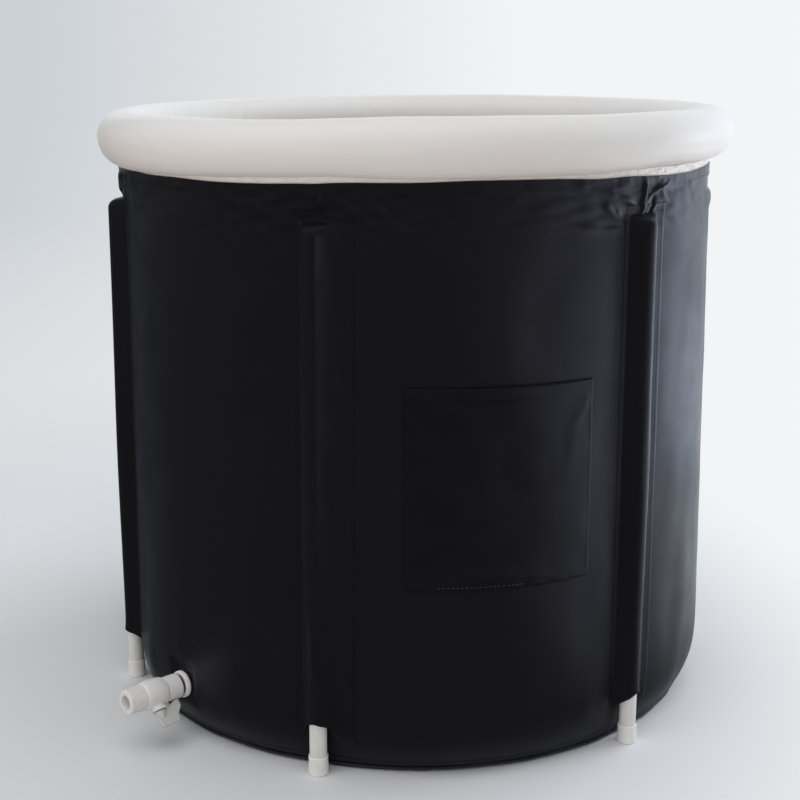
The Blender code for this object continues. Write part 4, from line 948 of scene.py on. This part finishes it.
def lathe(name, profile, matrix, material, segments=64):
    """Turns (radius, distance) points round a matrix's Z. It is closed on itself, or at the axis."""
    profile = [(max(r, 0), h) for r, h in profile]
    solid = profile[0][0] == 0 and profile[-1][0] == 0
    points = profile[1:-1] if solid else profile
    verts, faces = [], []
    for r, h in points:
        for i in range(segments):
            a = 2 * PI * i / segments
            verts.append((r * math.cos(a), r * math.sin(a), h))
    rings = len(points)
    for k in range(rings if not solid else rings - 1):
        m = (k + 1) % rings
        for i in range(segments):
            j = (i + 1) % segments
            faces.append((k * segments + i, k * segments + j, m * segments + j, m * segments + i))
    if solid:
        for k, h in ((0, profile[0][1]), (rings - 1, profile[-1][1])):
            verts.append((0, 0, h))
            for i in range(segments):
                faces.append((k * segments + i, k * segments + (i + 1) % segments, len(verts) - 1))
    mesh = bpy.data.meshes.new(name)
    mesh.from_pydata(verts, [], faces)
    bm = bmesh.new()
    bm.from_mesh(mesh)
    bmesh.ops.recalc_face_normals(bm, faces=bm.faces)
    bm.to_mesh(mesh)
    bm.free()
    mesh.transform(matrix)
    mesh.materials.append(material)
    mesh.shade_smooth()
    mesh.set_sharp_from_angle(angle=SHARP)
    return add_object(name, mesh)


def pin(radius, low, high):
    return [(0, low), (radius, low), (radius, high), (0, high)]


def soften(profile, radius=0.0004, steps=3):
    """Rounds each corner of a closed or axis-to-axis profile."""
    points = [Vector((r, h)) for r, h in profile]
    closed = not (profile[0][0] == 0 and profile[-1][0] == 0)
    out = []
    count = len(points)
    for i, p in enumerate(points):
        if not closed and i in (0, count - 1):
            out.append(tuple(p))
            continue
        a, b = points[i - 1] - p, points[(i + 1) % count] - p
        size = min(radius, a.length * 0.45, b.length * 0.45)
        if size < 1e-6 or a.angle(b) > math.radians(150):
            out.append(tuple(p))
            continue
        s, e = p + a.normalized() * size, p + b.normalized() * size
        for k in range(steps + 1):
            t = k / steps
            out.append(tuple(s * (1 - t) ** 2 + p * (2 * t * (1 - t)) + e * t**2))
    return out


def turned(name, profile, matrix, material, body, node, segments=72, edge=0.0004):
    """A turned piece with rounded edges."""
    return finish_piece(lathe(name, soften(profile, edge), matrix, material, segments), body, node)


def build_rim():
    skin = Skin()
    phi = np.linspace(0, 2 * PI, 480, endpoint=False)[None, :]
    turn = np.linspace(0, 2 * PI, 73)[:-1][:, None]
    inward = np.maximum(-np.cos(turn), 0)
    arc = phi * RIM_C
    # Slightly fuller above, flattened where it sits on the band, with puckers on the inner side
    round_tube = turn * 0.03
    size = RIM_TUBE + 0.00035 * waves(arc, round_tube, 21, 0.22) + 0.00015 * waves(arc, round_tube, 22, 0.07)
    pucker = 0.00075 * (0.5 + 0.5 * waves(arc, turn * 0, 23, 0.020)) * inward**10
    size = size - pucker
    crease_at = np.radians(-62)
    away = (phi - crease_at + PI) % (2 * PI) - PI
    size = size - 0.0018 * bell(away / 0.012) * inward**3 * step(-0.6, 0.4, np.sin(turn))
    radius = RIM_C + size * np.cos(turn)
    # The soft tube sinks on the left of the view and hangs over the band outside it
    top, under = 0.7394 - around(RIM_SHAPE, phi), around(RIM_SHAPE, phi, 2)
    z = (top + under) / 2 + (top - under) / 2 * (size / RIM_TUBE) * np.sin(turn)
    seat = np.maximum(z, BAND_TOP + 0.0002 - band_drop(phi))
    z = z + (seat - z) * step(0.3740, 0.3700, radius)
    index = skin.ring(radius, phi, z, (arc, turn * RIM_TUBE), turn=True)
    skin.join_rows(index[0], index[-1])
    obj = whole_piece("inflated_rim", skin, [RIM_VINYL], "rim", "rim_ring")
    boolean(obj, lathe("hole", pin(0.0065, -0.012, 0.004), INFLATION, RIM_VINYL, 32))
    obj.data.shade_smooth()


def build_band():
    skin = Skin()
    low = 0.6572
    phi = np.linspace(0, 2 * PI, 1440, endpoint=False)[None, :]
    z = rows((low, 0.002), (0.668, 0.0008), (BAND_TOP, 0.001))[:, None]
    arc = phi * BAND_R
    pressed = z - band_drop(phi) * (z - low) / (BAND_TOP - low)
    hem = HEM_Z + hem_lift(phi)
    show = step(hem + 0.0004, hem + 0.0035, pressed) * step(BAND_TOP + 0.0008, 0.6770, z)
    crinkle = 0.0011 * np.abs(waves(arc, z * 2.5, 31, 0.016)) + 0.0008 * waves(arc, z * 1.5, 32, 0.032)
    crinkle += 0.0005 * waves(arc * 2, z * 3, 33, 0.012)
    radius = BAND_R - 0.0001 + crinkle * show
    outer = skin.ring(radius, phi, pressed, (arc, z))
    inner = skin.ring(np.minimum(radius, BAND_R) - 0.0009, phi, pressed, (arc, z), turn=True)
    skin.join_rows(outer[-1], inner[-1])
    skin.join_rows(inner[0], outer[0])
    obj = whole_piece("welded_band", skin, [BAND_VINYL], "rim", "rim_band")


INFLATION = Matrix.Translation((0, 0.3941, RIM_Z)) @ Matrix.Rotation(math.radians(-90), 4, "X")


def build_inflation_valve():
    turned("inflation_neck_soft", [
        (0.0043, -0.013), (0.0062, -0.013), (0.0062, 0.0), (0.0075, 0.0), (0.0075, 0.0014), (0.0043, 0.0014),
    ], INFLATION, CLEAR, "rim", "inflation_neck", 48)
    turned("stopper", [
        (0, -0.0083), (0.0034, -0.0083), (0.0038, -0.0079), (0.0038, 0.0004), (0.0036, 0.0008),
        (0.0038, 0.0012), (0.0038, 0.0017), (0.0070, 0.0017), (0.0070, 0.0036), (0.0062, 0.0049),
        (0.0045, 0.0046), (0, 0.0046),
    ], INFLATION, RIM_VINYL, "inflation_plug", "inflation_stopper", 48)
    retint("inflation_flap", CLEAR)


def retint(node, material):
    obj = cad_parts[node]
    obj.data.materials.clear()
    obj.data.materials.append(material)


# Poles


def build_poles():
    tube = soften([(0.008, 0.003), (0.010, 0.003), (0.010, 0.612), (0.008, 0.612)], 0.0003)
    # The skirt of the foot cup is slightly waisted, with a bead round its mouth
    cup = soften([
        (0, 0), (0.0108, 0), (0.0118, 0.0010), (0.0117, 0.006), (0.01115, 0.0188), (0.01130, 0.0200),
        (0.01130, 0.0222), (0.0110, 0.0230), (0.0103, 0.0230), (0.0103, 0.0027), (0, 0.0027),
    ], 0.0005)
    plug = soften([
        (0, 0.5973), (0.0072, 0.5973), (0.0077, 0.5978), (0.0077, 0.6123), (0.010, 0.6123), (0.010, 0.6139),
        (0.0092, 0.6147), (0.006, 0.6155), (0, 0.6159),
    ], 0.0004)
    for pole in range(POLES):
        angle = FIRST + pole * PANEL
        place = Matrix.Translation((POLE_CIRCLE * math.sin(angle), -POLE_CIRCLE * math.cos(angle), 0))
        body = f"pole_{pole + 1}_set"
        for name, profile, node, material, slot in (
            ("pole_tube", tube, "pole", PIPE, "pipe_plastic"),
            ("foot_cup", cup, "pole_foot", CAP, "cap_plastic"),
            ("top_plug", plug, "pole_top_plug", CAP, "cap_plastic"),
        ):
            obj = lathe(f"{name}_{pole + 1}", profile, place, material, 40)
            finish_piece(obj, body, f"{node}_{pole + 1}")


# The drain


DRAIN = Matrix.Translation((0, 0, DRAIN_Z)) @ Matrix.Rotation(math.radians(90), 4, "X")
DOWN = Vector((math.sin(TILT), 0, -math.cos(TILT)))
INWARD = Vector((0, 1, 0))
STEM = Matrix((INWARD, DOWN.cross(INWARD), DOWN)).transposed().to_4x4()
STEM.translation = Vector((0, BALL_Y, DRAIN_Z))


def remesh(obj, voxel, smooth=6):
    """Melts joined shapes into one moulded skin with small fillets."""
    modifier = obj.modifiers.new("melt", "REMESH")
    modifier.mode, modifier.voxel_size = "VOXEL", voxel
    apply_modifiers(obj)
    modifier = obj.modifiers.new("smooth", "SMOOTH")
    modifier.factor, modifier.iterations = 0.5, smooth
    apply_modifiers(obj)
    return obj


def build_drain():
    turned("wall_fitting", [
        (0.0075, 0.3640), (0.0180, 0.3640), (0.0190, 0.3650), (0.0190, 0.3670), (0.0105, 0.3670),
        (0.0105, 0.3975), (0.0075, 0.3975),
    ], DRAIN, VALVE, "tub", "drain_fitting", edge=0.0005)
    for name, outer, start, end, edge in (
        ("inner_gasket", 0.0175, 0.3673, 0.3688, 0.0005),
        ("outer_gasket", 0.0165, 0.3758, 0.3770, 0.0005),
        ("seal_ring", 0.0122, 0.3835, 0.3868, 0.0008),
    ):
        section = [(0.0108, start), (outer, start), (outer, end), (0.0108, end)]
        turned(name, section, DRAIN, RUBBER, "tub", f"drain_{name}", edge=edge)
    nut = lathe("lock_nut", soften([
        (0.0108, 0.3773), (0.0152, 0.3773), (0.0162, 0.3783), (0.0162, 0.3822), (0.0152, 0.3832),
        (0.0108, 0.3832),
    ], 0.0004), DRAIN, VALVE, 96)
    for k in range(12):
        # Grip notches round the rim
        turn = DRAIN @ Matrix.Rotation(2 * PI * k / 12, 4, "Z") @ Matrix.Translation((0.01695, 0, 0.3773))
        boolean(nut, lathe("notch", pin(0.0011, -0.002, 0.009), turn, VALVE, 16))
    nut.data.set_sharp_from_angle(angle=SHARP)
    finish_piece(nut, "tub", "drain_lock_nut")
    turned("valve_collar_moulded", [
        (0.0108, 0.3871), (0.0141, 0.3871), (0.0149, 0.3879), (0.0149, 0.4058), (0.0142, 0.4066),
        (0.0089, 0.4066), (0.0089, 0.4131), (0.0050, 0.4131), (0.0050, 0.3983), (0.0108, 0.3983),
    ], DRAIN, VALVE, "tub", "valve_collar")
    # Body: bulb, tapered outlet and the stem's boss, melted together
    start, bulb = 0.4069, 0.4362
    half = (bulb - start) / 2
    outline = [(0, start)]
    for k in range(21):
        share = -1 + 2 * k / 20
        ends = 0.0150 if share < 0 else 0.0152
        round_share = math.sqrt(max(0, 1 - share**2))
        outline.append((ends + (0.0178 - ends) * round_share, start + half + share * half))
    outline += [(0.0146, 0.4580), (0.0138, 0.4590), (0, 0.4590)]
    body = lathe("valve_body_moulded", outline, DRAIN, VALVE, 96)
    boss = lathe("boss", [
        (0, 0.006), (0.0087, 0.006), (0.0087, 0.0196), (0.0094, 0.0198), (0.0094, 0.0214),
        (0.0092, 0.0216), (0, 0.0216),
    ], STEM, VALVE, 64)
    boolean(body, boss, "UNION")
    remesh(body, 0.00042, 5)
    hollow = lathe("hollow", [
        (0, start - 0.002), (0.0092, start - 0.002), (0.0092, 0.4299), (0.0050, 0.4299), (0.0050, 0.4385),
        (0.0088, 0.4385), (0.0088, 0.4570), (0.0096, 0.4620), (0, 0.4620),
    ], DRAIN, VALVE, 72)
    boolean(body, hollow)
    stem_way = lathe("stem_way", [
        (0, 0), (0.0042, 0), (0.0042, 0.0104), (0.0033, 0.0104), (0.0033, 0.023), (0, 0.023),
    ], STEM, VALVE, 48)
    boolean(body, stem_way)
    body.data.shade_smooth()
    body.data.set_sharp_from_angle(angle=math.radians(38))
    finish_piece(body, "tub", "valve_body")
    for node, material in (
        ("ball_seat_inlet", SEAT), ("ball_seat_outlet", SEAT), ("valve_ball", BALL), ("stem_oring", RUBBER),
        ("valve_stem", VALVE),
    ):
        retint(node, material)
    build_lever()


def build_lever():
    reach, drop, top, thick = 0.0272, 0.0198, 0.0224, 0.0056
    shares = (
        (-0.24, 0.0), (0.33, 0.0), (0.50, -0.12), (0.80, -0.335), (0.94, -0.335), (0.98, -0.28), (1.0, 0.088),
        (0.742, 0.526), (0.71, 0.86), (0.66, 0.93), (-0.10, 1.0), (-0.16, 0.95), (-0.265, 0.36),
    )
    bm = bmesh.new()
    outline = [bm.verts.new((a * reach, -thick / 2, top + b * drop)) for a, b in shares]
    face = bm.faces.new(outline)
    out = bmesh.ops.extrude_face_region(bm, geom=[face])
    moved = [g for g in out["geom"] if isinstance(g, bmesh.types.BMVert)]
    bmesh.ops.translate(bm, vec=(0, thick, 0), verts=moved)
    bmesh.ops.recalc_face_normals(bm, faces=bm.faces)
    mesh = bpy.data.meshes.new("lever")
    bm.to_mesh(mesh)
    bm.free()
    mesh.transform(STEM)
    mesh.materials.append(LEVER)
    lever = add_object("drain_lever_moulded", mesh)
    hub = lathe("hub", [
        (0, top + 0.0004), (0.0066, top + 0.0004), (0.0060, top + 0.0040), (0.0030, top + 0.0102),
        (0, top + 0.0104),
    ], STEM, LEVER, 48)
    boolean(lever, hub, "UNION")
    remesh(lever, 0.00036, 9)
    square = add_object("square", bpy.data.meshes.new("square"))
    bm = bmesh.new()
    bmesh.ops.create_cube(bm, size=1.0)
    for v in bm.verts:
        v.co = Vector((v.co.x * 0.0048, v.co.y * 0.0048, 0.0256 + v.co.z * 0.0112))
    bm.to_mesh(square.data)
    bm.free()
    square.data.transform(STEM)
    boolean(lever, square)
    lever.data.shade_smooth()
    lever.data.set_sharp_from_angle(angle=math.radians(40))
    finish_piece(lever, "drain_lever", "valve_lever")


# The room, set out from the photograph's side

VIEW = math.radians(46.54)
TOWARD = Vector((math.sin(VIEW), -math.cos(VIEW), 0))
SIDE = Vector((math.cos(VIEW), math.sin(VIEW), 0))


def view_frame(right, toward, up):
    return SIDE * right + TOWARD * toward + Vector((0, 0, up))


def build_stage():
    mesh = bpy.data.meshes.new("floor")
    front, back, high, half_width, bend = 6.0, -5.0, 5.0, 9.0, 1.2
    profile = [(front, 0.0)]
    for k in range(17):
        a = k / 16 * PI / 2
        profile.append((back - bend * math.sin(a), bend - bend * math.cos(a)))
    profile.append((back - bend, high))
    verts = [view_frame(across, along, z)[:] for along, z in profile for across in (-half_width, half_width)]
    faces = [(2 * k, 2 * k + 1, 2 * k + 3, 2 * k + 2) for k in range(len(profile) - 1)]
    mesh.from_pydata(verts, [], faces)
    mesh.shade_smooth()
    floor = add_object("floor", mesh)
    n = Nodes("pale_floor", (0.80, 0.805, 0.81), 0.55)
    n.colour(n.mix(n.range(n.noise(2.0), 0.0, 0.5), (0.80, 0.805, 0.81), (0.775, 0.785, 0.795)))
    n.set(Specular_IOR_Level=0.25)
    # Far from the tub the floor turns into an even pale background
    tree = n.tree
    camera, glossy, through = light_path(tree)
    seen = n.maths("MAXIMUM", camera, through)
    # Painted window light: the glow is paler towards the window on the right, which gloss shows more than the
    # eye does
    right = n.add("VectorMath", "Value", {0: n.object, 1: SIDE}, operation="DOT_PRODUCT")
    paler = n.range(right, 0.0, 1.0, -2.0, 0.6)
    aside = SIDE * 0.85 - TOWARD * 0.53
    behind = n.add("VectorMath", "Value", {0: n.object, 1: aside}, operation="DOT_PRODUCT")
    bright_side = n.range(behind, 0.0, 1.0, 0.15, 0.65)
    shine = n.maths("MULTIPLY", glossy, n.maths("SUBTRACT", 1.0, bright_side))
    length = n.add("VectorMath", "Value", {0: n.object}, operation="LENGTH")
    away = n.maths("ADD", length, n.maths("MULTIPLY", n.maths("MAXIMUM", right, 0.0), 1.6))
    far = n.range(away, 0.0, 1.0, 0.62, 2.0, interpolation_type="SMOOTHSTEP")
    near = n.range(length, 0.0, 1.0, 0.30, 0.42, interpolation_type="SMOOTHSTEP")
    seen = n.maths("MAXIMUM", n.maths("MULTIPLY", seen, far), n.maths("MULTIPLY", glossy, near))
    pale = n.mix(paler, (0.60, 0.635, 0.665), (0.89, 0.905, 0.915))
    # Painted reflection: in gloss the glow turns bluish on the window's side and dims to a tenth on the other
    # side
    glow = n.add("Emission", "Emission", {
        "Color": n.mix(n.maths("MULTIPLY", glossy, bright_side), pale, (0.86, 0.93, 1.0)),
        "Strength": n.maths("SUBTRACT", 1.0, n.maths("MULTIPLY", shine, 0.90)),
    })
    blend = n.add("MixShader", "Shader", {0: seen, 1: n.shader.outputs["BSDF"], 2: glow})
    tree.links.new(blend, tree.nodes["Material Output"].inputs["Surface"])
    mesh.materials.append(n.material)


def light_path(tree):
    path = tree.nodes.new("ShaderNodeLightPath")
    return (path.outputs[f"Is {kind} Ray"] for kind in ("Camera", "Glossy", "Transmission"))


def build_light():
    daylight = (0.70, 0.82, 1.0)
    # Name, place, height aimed at, size, power, colour, and whether gloss shows it
    for name, place, aim, size, power, colour, mirrored in (
        ("window", (3.0, -1.0, 0.62), 0.40, (1.5, 1.3), 14, daylight, True),
        ("window_foot", (1.36, -0.42, 0.14), 0.20, (0.9, 0.26), 1.3, daylight, True),
        ("window_side", (2.8, -1.4, 1.3), 0.30, (2.6, 1.8), 64, (0.84, 0.905, 1.0), False),
        ("overhead", (-0.4, 0.8, 3.4), 0.3, (3.0, 3.0), 42, (0.96, 0.985, 1.0), False),
        ("left_fill", (-2.6, 2.6, 0.9), 0.5, (2.6, 1.8), 17, (1.0, 0.925, 0.86), False),
    ):
        data = bpy.data.lights.new(name, "AREA")
        data.shape, data.size, data.size_y = "RECTANGLE", *size
        data.energy, data.color = power, colour
        lamp = add_object(name, data)
        lamp.location = view_frame(*place)
        lamp.rotation_euler = (Vector((0, 0, aim)) - view_frame(*place)).to_track_quat("-Z", "Y").to_euler()
        lamp.visible_camera, lamp.visible_glossy = False, mirrored
    world = bpy.data.worlds.new("soft_room")
    bpy.context.scene.world = world
    world.use_nodes = True
    tree = world.node_tree
    background = tree.nodes["Background"]
    camera, glossy, through = light_path(tree)
    seen = add_node(tree, "Math", "Value", {0: camera, 1: through}, operation="MAXIMUM")
    level = add_node(tree, "MapRange", "Result", {"To Min": 0.54, "To Max": 1.0, "Value": seen})
    # The side of the room behind the camera is dim in reflections
    dim = add_node(tree, "Math", "Value", {0: glossy, 1: -0.36, 2: level}, operation="MULTIPLY_ADD")
    background.inputs["Color"].default_value = (0.97, 0.985, 1.0, 1)
    tree.links.new(dim, background.inputs["Strength"])


def build_camera():
    data = bpy.data.cameras.new("camera")
    data.sensor_width = 36.0
    data.lens = 67.15
    camera = add_object("camera", data)
    distance, height = 1.9207, 0.8099
    pitch, yaw, roll = math.radians(13.36), -0.009159, -0.0022707
    camera.location = view_frame(0, distance, height)
    camera.rotation_euler = (
        Matrix.Rotation(VIEW - yaw, 3, "Z")
        @ Matrix.Rotation(PI / 2 - pitch, 3, "X")
        @ Matrix.Rotation(-roll, 3, "Z")
    ).to_euler()
    data.clip_start, data.clip_end = 0.02, 60
    bpy.context.scene.camera = camera


build_cover()
build_piping()
build_sleeves()
build_pocket()
build_foam()
build_liner()
build_rim()
build_band()
build_inflation_valve()
build_poles()
build_drain()
build_stage()
build_light()
build_camera()
bpy.context.scene.view_settings.view_transform = "Standard"
